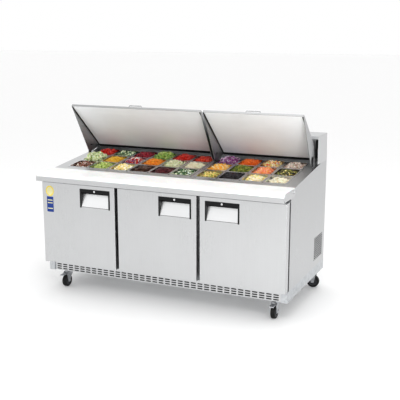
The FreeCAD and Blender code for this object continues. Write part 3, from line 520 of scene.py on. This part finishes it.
def slab(draw, long, wide, thick, sides=14):
    """A round slice, or a flattened round one, with a rind of the second finish."""
    stations = []
    for radius, z in ((0.9, -0.5), (1.0, -0.35), (1.0, 0.35), (0.9, 0.5)):
        stations.append([Vector((math.cos(2 * math.pi * n / sides) * radius * long / 2,
                                 math.sin(2 * math.pi * n / sides) * radius * wide / 2, z * thick))
                         for n in range(sides)])
    points, faces = tube_solid(stations, sides)
    rind = [1] * (3 * sides)
    return points, faces, rind + [0, 0]


def berry(draw, long, wide, thick):
    """A rounded lump, such as a bean, a floret or a crumb of cheese."""
    lump = bmesh.new()
    bmesh.ops.create_icosphere(lump, subdivisions=2, radius=0.5)
    seed = draw.uniform(0, 50)
    points = []
    for vertex in lump.verts:
        dent = 1 + 0.16 * noise.noise(vertex.co * 2.5 + Vector((seed, 0, 0)))
        points.append((vertex.co.x * long * dent, vertex.co.y * wide * dent, vertex.co.z * thick * dent))
    faces = [tuple(vertex.index for vertex in face.verts) for face in lump.faces]
    lump.free()
    return points, faces, [0] * len(faces)


def leaf(draw, long, wide, thick, cells=6):
    """A crinkled piece of leaf with a frilled edge."""
    seed = draw.uniform(0, 90)
    curl = draw.uniform(0.4, 1.3)
    upper, lower = [], []
    for row in range(cells + 1):
        for column in range(cells + 1):
            u, v = 2 * column / cells - 1, 2 * row / cells - 1
            frill = 0.35 * noise.noise(Vector((u * 1.6, v * 1.6, seed))) * (0.3 + u * u + v * v)
            base = Vector((u * long / 2 * (1 - 0.3 * v * v), v * wide / 2 * (1 - 0.2 * u * u),
                           (frill + curl * 0.25 * u * u) * wide))
            upper.append(base + Vector((0, 0, thick / 2)))
            lower.append(base - Vector((0, 0, thick / 2)))
    count = (cells + 1) ** 2
    across = cells + 1
    faces = []
    for row in range(cells):
        for column in range(cells):
            first = row * across + column
            quad = (first, first + 1, first + across + 1, first + across)
            faces.append(quad)
            faces.append(tuple(count + corner for corner in reversed(quad)))
    rim = [*range(across), *range(2 * across - 1, count, across),
           *range(count - 2, count - across - 1, -1), *range(count - 2 * across, 0, -across)]
    for first, second in zip(rim, rim[1:] + rim[:1]):
        faces.append((second, first, count + first, count + second))
    marks = [1 if number % 7 == 3 else 0 for number in range(len(faces))]
    return upper + lower, faces, marks


def mushroom(draw, long, wide, thick):
    """A slice across a mushroom: cap, gills and stalk."""
    cap = [(math.cos(math.pi * n / 8) * 0.5, math.sin(math.pi * n / 8) * 0.42) for n in range(9)]
    stalk = [(-0.42, -0.1), (-0.13, -0.06), (-0.12, -0.42), (0.12, -0.42), (0.13, -0.06), (0.42, -0.1)]
    outline = cap + stalk
    stations = [[Vector((x * long, y * wide, z * thick)) for x, y in outline] for z in (-0.5, 0.5)]
    points, faces = tube_solid(stations, len(outline))
    return points, faces, [1 if n < 8 else 0 for n in range(len(outline))] + [0, 0]


# ------------------------------------------------------------------ food finishes


def flesh(name, dark, light, roughness=0.35, scale=70.0, wet=0.35):
    """Moist cut food: mottled colour, a fine grain and a wet coat."""
    finish = Finish(f"food_{name}", light, roughness, Coat_Weight=wet, Coat_Roughness=0.25,
                    Subsurface_Weight=0.12, Subsurface_Scale=0.004)
    mottle = finish.noise(scale, 4.0)
    finish.colour(finish.ramp(mottle, (0.34, dark), (0.62, light)))
    finish.rough(finish.span(finish.noise(scale * 2.0, 3.0), roughness - 0.12, roughness + 0.15))
    finish.bump(finish.noise(420.0, 3.0), 0.0004, 0.6)
    return finish.material


FLESH = {
    "tomato": ((0.42, 0.012, 0.006), (0.72, 0.045, 0.02)),
    "tomato_skin": ((0.38, 0.008, 0.004), (0.6, 0.02, 0.01)),
    "cucumber": ((0.62, 0.72, 0.42), (0.82, 0.86, 0.66)),
    "cucumber_rind": ((0.01, 0.06, 0.012), (0.035, 0.15, 0.03)),
    "beet": ((0.16, 0.004, 0.018), (0.4, 0.012, 0.035)),
    "green_pepper": ((0.3, 0.42, 0.06), (0.66, 0.74, 0.3)),
    "green_pepper_skin": ((0.12, 0.26, 0.03), (0.3, 0.46, 0.08)),
    "red_pepper": ((0.55, 0.03, 0.01), (0.82, 0.12, 0.04)),
    "purple_onion": ((0.62, 0.42, 0.6), (0.85, 0.74, 0.85)),
    "purple_skin": ((0.1, 0.008, 0.09), (0.26, 0.02, 0.2)),
    "carrot": ((0.78, 0.13, 0.012), (0.92, 0.27, 0.03)),
    "pasta": ((0.72, 0.5, 0.12), (0.88, 0.74, 0.34)),
    "white_onion": ((0.74, 0.74, 0.66), (0.9, 0.9, 0.85)),
    "mushroom": ((0.62, 0.48, 0.4), (0.86, 0.77, 0.7)),
    "mushroom_cap": ((0.3, 0.16, 0.11), (0.55, 0.38, 0.3)),
    "lettuce": ((0.62, 0.7, 0.32), (0.92, 0.93, 0.74)),
    "lettuce_edge": ((0.22, 0.42, 0.06), (0.45, 0.62, 0.16)),
    "corn": ((0.76, 0.42, 0.03), (0.92, 0.66, 0.1)),
    "cheddar": ((0.82, 0.27, 0.015), (0.93, 0.42, 0.05)),
    "mozzarella": ((0.78, 0.72, 0.5), (0.92, 0.89, 0.74)),
    "mild_cheese": ((0.86, 0.42, 0.04), (0.95, 0.6, 0.14)),
    "pickle": ((0.2, 0.2, 0.015), (0.46, 0.44, 0.08)),
    "pickle_rind": ((0.05, 0.1, 0.01), (0.14, 0.22, 0.02)),
    "salmon": ((0.78, 0.17, 0.07), (0.94, 0.46, 0.26)),
    "olive_black": ((0.006, 0.005, 0.008), (0.028, 0.02, 0.026)),
    "olive_green": ((0.16, 0.17, 0.02), (0.34, 0.33, 0.06)),
    "bacon": ((0.12, 0.03, 0.015), (0.34, 0.12, 0.06)),
    "beef": ((0.05, 0.02, 0.012), (0.14, 0.06, 0.035)),
    "bean": ((0.055, 0.006, 0.01), (0.16, 0.014, 0.02)),
    "pineapple": ((0.8, 0.6, 0.14), (0.93, 0.8, 0.34)),
    "cream": ((0.84, 0.77, 0.56), (0.94, 0.9, 0.76)),
}
FLESH_FINISH = {}


def food_finish(name):
    if name not in FLESH_FINISH:
        FLESH_FINISH[name] = flesh(name, *FLESH[name])
    return FLESH_FINISH[name]


# Each food: its name, how far it heaps above the pan's rim (mm), and its kinds of piece. A kind is the shape,
# its length, width and thickness (mm), how many, and the finishes of its flesh and of its skin.
REAR_FOODS = [
    ("tomato_wedges", 16, [(chunk, 21, 15, 10, 120, "tomato", "tomato_skin")]),
    ("sliced_cucumber", 12, [(slab, 27, 25, 4, 90, "cucumber", "cucumber_rind")]),
    ("diced_beet", 15, [(chunk, 13, 12, 9, 220, "beet", "beet")]),
    ("green_pepper_rings", 24, [
        (ring, 38, 5, 5, 70, "green_pepper", "green_pepper_skin"),
        (strip, 32, 6, 4, 90, "green_pepper", "green_pepper_skin")]),
    ("diced_tomato", 18, [(chunk, 12, 11, 9, 250, "tomato", "tomato_skin")]),
    ("diced_red_pepper", 14, [(chunk, 14, 10, 6, 230, "red_pepper", "tomato_skin")]),
    ("red_onion_rings", 20, [
        (ring, 36, 3, 5, 90, "purple_onion", "purple_skin"),
        (ring, 24, 3, 5, 80, "purple_onion", "purple_skin")]),
    ("shredded_carrot", 17, [(strip, 28, 2.8, 2.4, 420, "carrot", "carrot")]),
    ("pepper_and_pasta", 16, [
        (strip, 26, 6, 4, 110, "pasta", "pasta"),
        (strip, 24, 5, 4, 60, "white_onion", "white_onion"),
        (strip, 24, 5, 4, 50, "red_pepper", "red_pepper")]),
    ("sliced_mushroom", 15, [(mushroom, 27, 24, 3.5, 130, "mushroom", "mushroom_cap")]),
]
MIDDLE_FOODS = [
    ("lettuce", 30, [
        (leaf, 36, 30, 0.9, 90, "lettuce", "lettuce_edge"),
        (strip, 30, 7, 1.5, 60, "lettuce", "lettuce")]),
    ("corn_and_cheese", 18, [
        (strip, 22, 3, 2.6, 260, "corn", "corn"),
        (berry, 8, 7, 6, 110, "corn", "corn")]),
    ("pepper_and_onion", 16, [
        (strip, 26, 6, 4, 110, "tomato", "tomato_skin"),
        (ring, 28, 3, 4, 50, "white_onion", "purple_skin")]),
    ("shredded_cheddar", 20, [(strip, 26, 2.8, 2.6, 430, "cheddar", "cheddar")]),
    ("cabbage", 20, [
        (strip, 30, 3.2, 1.6, 280, "mozzarella", "lettuce"),
        (leaf, 24, 18, 0.9, 40, "lettuce", "lettuce_edge")]),
    ("shredded_mozzarella", 17, [(strip, 24, 3, 2.6, 380, "mozzarella", "mozzarella")]),
    ("shredded_colby", 20, [
        (strip, 26, 3, 2.6, 330, "mild_cheese", "mild_cheese"),
        (strip, 24, 3, 2.6, 90, "mozzarella", "mozzarella")]),
    ("sliced_pickles", 17, [(slab, 26, 24, 3.2, 130, "pickle", "pickle_rind")]),
    ("salmon_flakes", 18, [
        (chunk, 22, 12, 5, 150, "salmon", "salmon"),
        (chunk, 16, 9, 5, 70, "mild_cheese", "mozzarella")]),
    ("mixed_olives", 16, [
        (ring, 13, 4, 5, 120, "olive_black", "olive_black"),
        (ring, 14, 4, 5, 100, "olive_green", "olive_green"),
        (chunk, 9, 8, 6, 50, "pineapple", "pasta")]),
]
FRONT_FOODS = [
    ("bacon_and_mushroom", 9, [
        (strip, 24, 9, 3, 120, "bacon", "beef"),
        (mushroom, 22, 20, 3.5, 40, "mushroom", "mushroom_cap")]),
    ("green_pepper_strips", 12, [(strip, 28, 6, 4, 170, "green_pepper", "green_pepper_skin")]),
    ("pineapple", 12, [(chunk, 16, 13, 8, 170, "pineapple", "cream")]),
    ("sliced_beef", 9, [(strip, 30, 12, 3, 130, "beef", "bacon")]),
    ("kidney_beans", 11, [(berry, 15, 9, 8, 190, "bean", "bean")]),
    ("cucumber_and_onion", 12, [
        (slab, 20, 18, 4, 80, "cucumber", "cucumber_rind"),
        (chunk, 12, 10, 6, 90, "cucumber_rind", "white_onion")]),
    ("chopped_salad", 10, [
        (chunk, 10, 8, 6, 120, "pineapple", "pasta"),
        (chunk, 10, 8, 5, 110, "pickle", "bacon"),
        (strip, 18, 5, 3, 60, "green_pepper", "green_pepper")]),
    ("black_olives", 10, [(ring, 14, 4, 5, 240, "olive_black", "olive_black")]),
    ("diced_potato", 10, [
        (chunk, 11, 10, 7, 150, "cream", "pineapple"),
        (berry, 8, 7, 6, 60, "mozzarella", "mozzarella")]),
    ("cream_cheese", 9, [(berry, 12, 10, 8, 190, "cream", "cream")]),
]

# ------------------------------------------------------------------ pans and their food

# The pan top's own frame: x across, y up the slope from the front row's front edge, z off the slope.
DECK_FRONT, DECK_SLOPE = (0, -0.2055, 0.872), math.radians(6.4)
DECK = Matrix.Translation(DECK_FRONT) @ Matrix.Rotation(DECK_SLOPE, 4, "X")
PANS_LEFT, PAN_WIDE, PAN_LONG, DIVIDER = -0.830, 0.1635, 0.174, 0.025
LEFT_COLUMNS = 6
# Every heap starts this far off the slope, and falls this much further at the pan's edge.
FOOD_LEVEL, EDGE_DROP = -0.006, 0.02
FOOD_HALF = Vector((0.0695, 0.0745))
BED_SUNK, BED_DEPTH, BED_TAPER, BED_RINGS, BED_SPOKES = 0.004, 0.05, 0.95, 9, 40
BED_CORNER = 7  # power of the rounded square that the heap fills
STEP_ACROSS, STEP_ALONG = 0.7549, 0.5698  # spread the pieces evenly over the pan
PIECE_TILT = 0.45


def pan_centre(column, line):
    x = PANS_LEFT + (column + 0.5) * PAN_WIDE + (DIVIDER if column >= LEFT_COLUMNS else 0)
    return Vector((x, (line + 0.5) * PAN_LONG, 0))


def heap_height(u, v, heap, line, seed):
    """Height of the food over the slope; front pans stay low in front, where the closed lid comes down."""
    dome = (1 - abs(u) ** 2.6) * (1 - abs(v) ** 2.6)
    if line == 0:
        dome *= min(1.0, max(0.0, (v + 0.75) / 0.9))
    lumps = 0.0035 * noise.noise(Vector((u * 2.3, v * 2.3, seed)))
    return FOOD_LEVEL - EDGE_DROP + (heap + EDGE_DROP) * dome + lumps * (0.4 + dome)


def bed(solids, centre, heap, line, seed):
    """The heap under the loose pieces: a closed solid with rounded corners that fills the top of the pan."""
    rings = []
    for step in range(BED_RINGS):
        reach = max(0.02, step / (BED_RINGS - 1))
        rings.append([])
        for spoke in range(BED_SPOKES):
            angle = 2 * math.pi * spoke / BED_SPOKES
            c, s = math.cos(angle), math.sin(angle)
            limit = reach * (abs(c) ** BED_CORNER + abs(s) ** BED_CORNER) ** (-1 / BED_CORNER)
            u, v = c * limit, s * limit
            height = heap_height(u, v, heap, line, seed) - BED_SUNK
            rings[-1].append(centre + Vector((u * FOOD_HALF.x, v * FOOD_HALF.y, height)))
    rings.append([centre + Vector((BED_TAPER * (p - centre).x, BED_TAPER * (p - centre).y, -BED_DEPTH))
                  for p in rings[-1]])
    points, faces = tube_solid(rings, BED_SPOKES)
    solids.add(points, faces, [0] * len(faces), Matrix.Identity(4))


def fill_pan(food, column, line, body, node):
    """One pan's food: the heap, and the loose pieces that cover it, spread evenly and turned at random."""
    name, heap, kinds = food
    draw = random.Random(f"pan {line} {column}")
    heap, centre = heap / 1000, pan_centre(column, line)
    seed = draw.uniform(0, 90)
    flesh_names = list(dict.fromkeys(flesh_name for kind in kinds for flesh_name in kind[5:]))
    solids = Solids()
    bed(solids, centre, heap, line, seed)
    for shape, long, wide, thick, count, inside, skin in kinds:
        finish_of = (flesh_names.index(inside), flesh_names.index(skin))
        room = Vector((1 - 0.42 * long / 1000 / FOOD_HALF.x, 1 - 0.42 * long / 1000 / FOOD_HALF.y))
        start = draw.random()
        for number in range(count):
            u = (2 * ((start + number * STEP_ACROSS) % 1) - 1) * room.x
            v = (2 * ((start + number * STEP_ALONG) % 1) - 1) * room.y
            size = draw.uniform(0.85, 1.45) / 1000
            points, faces, marks = shape(draw, long * size, wide * size, thick * size)
            height = heap_height(u, v, heap, line, seed) + draw.uniform(-0.4, 0.9) * thick / 1000
            place = centre + Vector((u * FOOD_HALF.x, v * FOOD_HALF.y, height - BED_SUNK / 2))
            turn = Euler((draw.gauss(0, PIECE_TILT), draw.gauss(0, PIECE_TILT), draw.uniform(0, 6.28)))
            solids.add(points, faces, [finish_of[mark] for mark in marks],
                       Matrix.Translation(place) @ turn.to_matrix().to_4x4())
    piece = solids.make(f"food_{name}", [food_finish(flesh_name) for flesh_name in flesh_names])
    piece.data.transform(DECK)
    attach(piece, body)
    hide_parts(node)


for line, (foods, body, node) in enumerate((
        (FRONT_FOODS, "pans_front", "food_front_row"), (MIDDLE_FOODS, "pans_middle", "food_middle_row"),
        (REAR_FOODS, "cabinet", "food_rear_row"))):
    for column, food in enumerate(foods):
        fill_pan(food, column, line, body, node)

# ------------------------------------------------------------------ finger plates in the pulls

FLOOR_LOW, FLOOR_HIGH = Vector((0.0, 0.005)), Vector((0.031, -0.036))
PLATE_INSET, PLATE_THICK, PLATE_STEPS, PLATE_CURL = 0.0102, 0.0006, 10, 0.003


def closed_piece(mesh, name, finish):
    """Makes an object of a closed mesh under construction, its faces turned outward."""
    bmesh.ops.recalc_face_normals(mesh, faces=mesh.faces)
    data = bpy.data.meshes.new(name)
    mesh.to_mesh(data)
    mesh.free()
    data.materials.append(finish)
    piece = bpy.data.objects.new(name, data)
    bpy.context.collection.objects.link(piece)
    return piece


def finger_plate(side):
    """A bright sheet that lines the sloped floor of a pull, bowed out a little along its middle."""
    low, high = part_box(f"door_{side}_pull")
    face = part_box(f"door_{side}_skin")[0].y
    foot = Vector((face, low.z)) + FLOOR_LOW
    head = Vector((face, high.z)) + FLOOR_HIGH
    run = (head - foot).normalized()
    out = Vector((-run.y, run.x))
    mesh = bmesh.new()
    rows = []
    for step in range(PLATE_STEPS + 1):
        share = step / PLATE_STEPS
        swell = PLATE_CURL * math.sin(math.pi * share) ** 2
        middle = foot.lerp(head, 0.02 + 0.95 * share) + out * (0.0006 + swell * 0.3)
        for offset in (0, PLATE_THICK):
            place = middle + out * offset
            rows.append([mesh.verts.new((x, place.x, place.y))
                         for x in (low.x + PLATE_INSET, high.x - PLATE_INSET)])
    for step in range(PLATE_STEPS):
        inner, outer, next_inner, next_outer = rows[2 * step:2 * step + 4]
        mesh.faces.new((inner[0], inner[1], next_inner[1], next_inner[0]))
        mesh.faces.new((outer[0], next_outer[0], next_outer[1], outer[1]))
        mesh.faces.new((inner[0], next_inner[0], next_outer[0], outer[0]))
        mesh.faces.new((inner[1], outer[1], next_outer[1], next_inner[1]))
    mesh.faces.new((rows[0][0], rows[1][0], rows[1][1], rows[0][1]))
    mesh.faces.new((rows[-2][1], rows[-1][1], rows[-1][0], rows[-2][0]))
    # The plate's steel is lighter than the door's: painted light.
    plate = closed_piece(mesh, f"door_{side}_finger_plate", PLATE_STEEL)
    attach(plate, f"door_{side}")


for side in ("left", "centre", "right"):
    finger_plate(side)

# ------------------------------------------------------------------ strips, filters and labels


def swept(name, outline, start, end, across, up, finish, body):
    """A long strip: an outline in (across, up), in metres, drawn out from start to end."""
    mesh = bmesh.new()
    start, end, across, up = Vector(start), Vector(end), Vector(across), Vector(up)
    ends = [[mesh.verts.new(at + across * x + up * y) for x, y in outline] for at in (start, end)]
    for number in range(len(outline)):
        after = (number + 1) % len(outline)
        mesh.faces.new((ends[0][number], ends[0][after], ends[1][after], ends[1][number]))
    for ring_of_end in ends:
        mesh.faces.new(ring_of_end)
    piece = closed_piece(mesh, name, finish)
    piece.data.polygons.foreach_set("use_smooth", [True] * len(piece.data.polygons))
    piece.data.set_sharp_from_angle(angle=SMOOTH_ANGLE)
    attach(piece, body)


def round_outline(half_wide, half_high, radius, steps=5):
    """A rounded rectangle's outline about the origin."""
    outline = []
    for turn, x, y in ((0, 1, 1), (1, -1, 1), (2, -1, -1), (3, 1, -1)):
        for step in range(steps + 1):
            angle = (turn + step / steps) * math.pi / 2
            outline.append((x * (half_wide - radius) + radius * math.cos(angle),
                            y * (half_high - radius) + radius * math.sin(angle)))
    return outline


def finned_outline(wide, deep, fins):
    """A flat back with a row of rounded fins, the section of a rubber wiper."""
    outline = [(0, 0), (wide, 0)]
    for fin in range(fins * 8, -1, -1):
        outline.append((wide * fin / (fins * 8), deep * (0.55 + 0.45 * math.cos(2 * math.pi * fin / 8))))
    return outline


LID_PIVOT = Vector(JOINTS["lid_left_hinge"]["pos_m"])
LID_OPEN = math.radians(138)
LID_TIP, LID_INNER, LID_HUB = 0.392, -0.071, 0.051
ALONG = Vector((0, math.cos(LID_OPEN), math.sin(LID_OPEN)))
INWARD = Vector((0, -math.sin(LID_OPEN), math.cos(LID_OPEN)))


def on_lid(x, along, inward):
    return Vector((x, LID_PIVOT.y, LID_PIVOT.z)) + ALONG * along + INWARD * inward


def lid_beads():
    """The dark bead along each end plate, where it meets the inner sheet."""
    bead = [(x * 0.0028, y * 0.0028) for x, y in round_outline(1, 1, 0.6, 3)]
    for side in ("left", "right"):
        low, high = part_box(f"lid_{side}_gasket")
        for end, x in (("left", low.x + 0.0029), ("right", high.x - 0.0029)):
            swept(f"lid_{side}_bead_{end}", bead, on_lid(x, -0.092, LID_INNER + 0.003),
                  on_lid(x, LID_TIP - 0.004, LID_INNER + 0.003), (1, 0, 0), INWARD, RUBBER,
                  f"lid_{side}")


def gap_seal():
    """The black rubber strip between the lids, on the right lid's end plate: painted shade for the deep gap
    between them.
    """
    reach = math.hypot(LID_TIP, LID_INNER)
    turn = math.atan2(LID_INNER, LID_TIP) + math.acos(LID_HUB / reach)
    tip = Vector((LID_TIP, LID_INNER))
    hub = Vector((math.cos(turn), math.sin(turn))) * LID_HUB
    run = (hub - tip).normalized()
    back_off = Vector((-run.y, run.x)) * 0.008
    first, last = tip.lerp(hub, 0.35) + back_off, tip.lerp(hub, 0.8) + back_off
    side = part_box("lid_right_panel")[0].x
    # A black strip that paints the shade of the deep gap between the lids.
    swept("lid_right_gap_seal", finned_outline(0.012, 0.0045, 3), on_lid(side, *first), on_lid(side, *last),
          ALONG * back_off.normalized().x + INWARD * back_off.normalized().y, (-1, 0, 0), RUBBER,
          "lid_right")


def hood_wipers():
    """Upright rubber wipers that close the gap between the lids' ends and the hood's ends."""
    low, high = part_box("hood")
    for side, sign, x in (("left", -1, low.x), ("right", 1, high.x)):
        at_x, at_y = x - sign * 0.0032, low.y + 0.012
        swept(f"hood_wiper_{side}", finned_outline(0.0155, 0.006, 3), (at_x, at_y, low.z + 0.04),
              (at_x, at_y, high.z - 0.024), (-sign, 0, 0), (0, -1, 0), RUBBER, "cabinet")


PLEAT = 0.006


def filter_sheet(name, corner, wide_way, high_way, wide, high, pleat, deep):
    """A thin pleated filter sheet behind a vent, given its lower corner and its two directions."""
    mesh = bmesh.new()
    wide_way, high_way = Vector(wide_way), Vector(high_way)
    out = wide_way.cross(high_way)
    pleats = round(wide / pleat)
    skins = []
    for offset in (0, deep * 0.6):
        rows = []
        for step in range(pleats + 1):
            place = Vector(corner) + wide_way * wide * step / pleats + out * (offset + deep * 0.4 * (step % 2))
            rows.append((mesh.verts.new(place), mesh.verts.new(place + high_way * high)))
        skins.append(rows)
    for step in range(pleats):
        for rows in skins:
            mesh.faces.new((rows[step][0], rows[step + 1][0], rows[step + 1][1], rows[step][1]))
        for end in (0, 1):
            mesh.faces.new((skins[0][step][end], skins[0][step + 1][end],
                            skins[1][step + 1][end], skins[1][step][end]))
    for step in (0, pleats):
        mesh.faces.new((skins[0][step][0], skins[0][step][1], skins[1][step][1], skins[1][step][0]))
    piece = closed_piece(mesh, name, FILTER)
    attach(piece, "cabinet")


def labels():
    """A blank round label over a blank upright one with plain bars, on the left door."""
    low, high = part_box("door_left_skin")
    middle = low.x + 0.062
    disc = [(0.033 * math.cos(2 * math.pi * n / 40), 0.037 * math.sin(2 * math.pi * n / 40))
            for n in range(40)]
    ring_label = [(x * 0.78, y * 0.78) for x, y in disc]
    bar = round_outline(0.021, 0.0035, 0.0015, 3)
    under, over = 0.0003, 0.0005
    parts = [("disc", disc, 0.062, under, YELLOW_LABEL),
             ("disc_centre", ring_label, 0.062, over, PALE_LABEL),
             ("panel", round_outline(0.027, 0.055, 0.004), 0.158, under, BLUE_LABEL),
             ("bar_upper", bar, 0.128, over, PALE_LABEL),
             ("bar_middle", bar, 0.148, over, PALE_LABEL),
             ("bar_lower", bar, 0.188, over, PALE_LABEL)]
    for name, outline, down, proud, finish in parts:
        z = high.z - down
        swept(f"door_left_label_{name}", outline, (middle, low.y + 0.0002, z), (middle, low.y - proud, z),
              (1, 0, 0), (0, 0, 1), finish, "door_left")


# The side vent's field of holes: its first hole's y and z, and the radii of the rims.
VENT_COLUMNS, VENT_ROWS, VENT_PITCH = 13, 11, 0.0155
VENT_START = (0.2325, 0.258)
EYELET_IN, EYELET_OUT = 0.0038, 0.0056


def vent_eyelets():
    """Dark moulded rims round the holes of the side vent."""
    solids = Solids()
    panel_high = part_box("side_panel_right")[1]
    for column in range(VENT_COLUMNS):
        for row in range(VENT_ROWS - column % 2):
            y = VENT_START[0] + column * VENT_PITCH
            z = VENT_START[1] + (row + 0.5 * (column % 2)) * VENT_PITCH
            rim = []
            for side in range(20):
                angle = 2 * math.pi * side / 20
                c, s = math.cos(angle), math.sin(angle)
                rim.append([Vector((x, y + radius * c, z + radius * s)) for x, radius in
                            ((panel_high.x - 0.0025, EYELET_IN), (panel_high.x - 0.0025, EYELET_OUT),
                             (panel_high.x + 0.0003, EYELET_OUT), (panel_high.x + 0.0006, EYELET_IN + 0.0006),
                             (panel_high.x + 0.0003, EYELET_IN))])
            points, faces = tube_solid(rim, 5, closed=True)
            solids.add(points, faces, [0] * len(faces), Matrix.Identity(4))
    eyelets = solids.make("side_vent_eyelets", [BLACK_PLASTIC])
    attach(eyelets, "cabinet")


lid_beads()
vent_eyelets()
gap_seal()
hood_wipers()
labels()
grille_low, grille_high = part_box("front_grille")
# The near-black pleated sheet behind the kick grille is a filter and also painted shade, so the slots read dark.
filter_sheet("kick_filter_painted_shade", (grille_low.x + 0.012, grille_high.y + 0.0004, grille_low.z + 0.004),
             (1, 0, 0), (0, 0, 1), grille_high.x - grille_low.x - 0.024, 0.06, PLEAT, -0.0003)
side_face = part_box("side_panel_right")[1].x
filter_sheet("side_vent_filter", (side_face - 0.0045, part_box("condenser")[0].y - 0.01, 0.245),
             (0, 1, 0), (0, 0, 1), 0.215, 0.19, PLEAT, 0.0015)

# ------------------------------------------------------------------ floor and light

FLOOR_HALF = 60.0


def make_floor():
    mesh = bpy.data.meshes.new("floor")
    corners = [(-FLOOR_HALF, -FLOOR_HALF, 0), (FLOOR_HALF, -FLOOR_HALF, 0),
               (FLOOR_HALF, FLOOR_HALF, 0), (-FLOOR_HALF, FLOOR_HALF, 0)]
    mesh.from_pydata(corners, [], [(0, 1, 2, 3)])
    floor = bpy.data.objects.new("floor", mesh)
    finish = Finish("pale_floor", (0.86, 0.86, 0.86), 0.7, Emission_Color=(1, 1, 1, 1), Emission_Strength=0.1)
    finish.rough(finish.span(finish.noise(2.0), 0.65, 0.75))
    mesh.materials.append(finish.material)
    bpy.context.collection.objects.link(floor)


def soft_light(name, place, target, size, power, colour=(1, 1, 1)):
    """A square soft box aimed at a point."""
    data = bpy.data.lights.new(name, "AREA")
    data.shape = "SQUARE"
    data.size = size
    data.energy = power
    data.color = colour
    light = bpy.data.objects.new(name, data)
    light.location = place
    light.rotation_euler = (Vector(target) - Vector(place)).to_track_quat("-Z", "Y").to_euler()
    bpy.context.collection.objects.link(light)


def make_light():
    world = bpy.data.worlds.new("studio")
    world.use_nodes = True
    world.node_tree.nodes["Background"].inputs["Color"].default_value = (1.0, 1.0, 1.0, 1)
    world.node_tree.nodes["Background"].inputs["Strength"].default_value = 1.0
    bpy.context.scene.world = world
    middle = (0, 0, 0.7)
    soft_light("key", (3.0, -4.5, 4.2), middle, 2.5, 30)
    soft_light("pool", (1.3, -2.7, 2.6), (1.3, -2.7, 0), 1.2, 20)
    soft_light("under_lids", (3.1, -2.5, 0.55), (0, 0.2, 1.2), 1.4, 44)
    soft_light("fill", (-4.5, -3.0, 2.2), middle, 3.0, 10)
    soft_light("top", (0.0, 0.5, 4.5), middle, 3.0, 30)
    view = bpy.context.scene.view_settings
    view.view_transform = "Standard"
    view.gamma = 0.84


make_floor()
make_light()
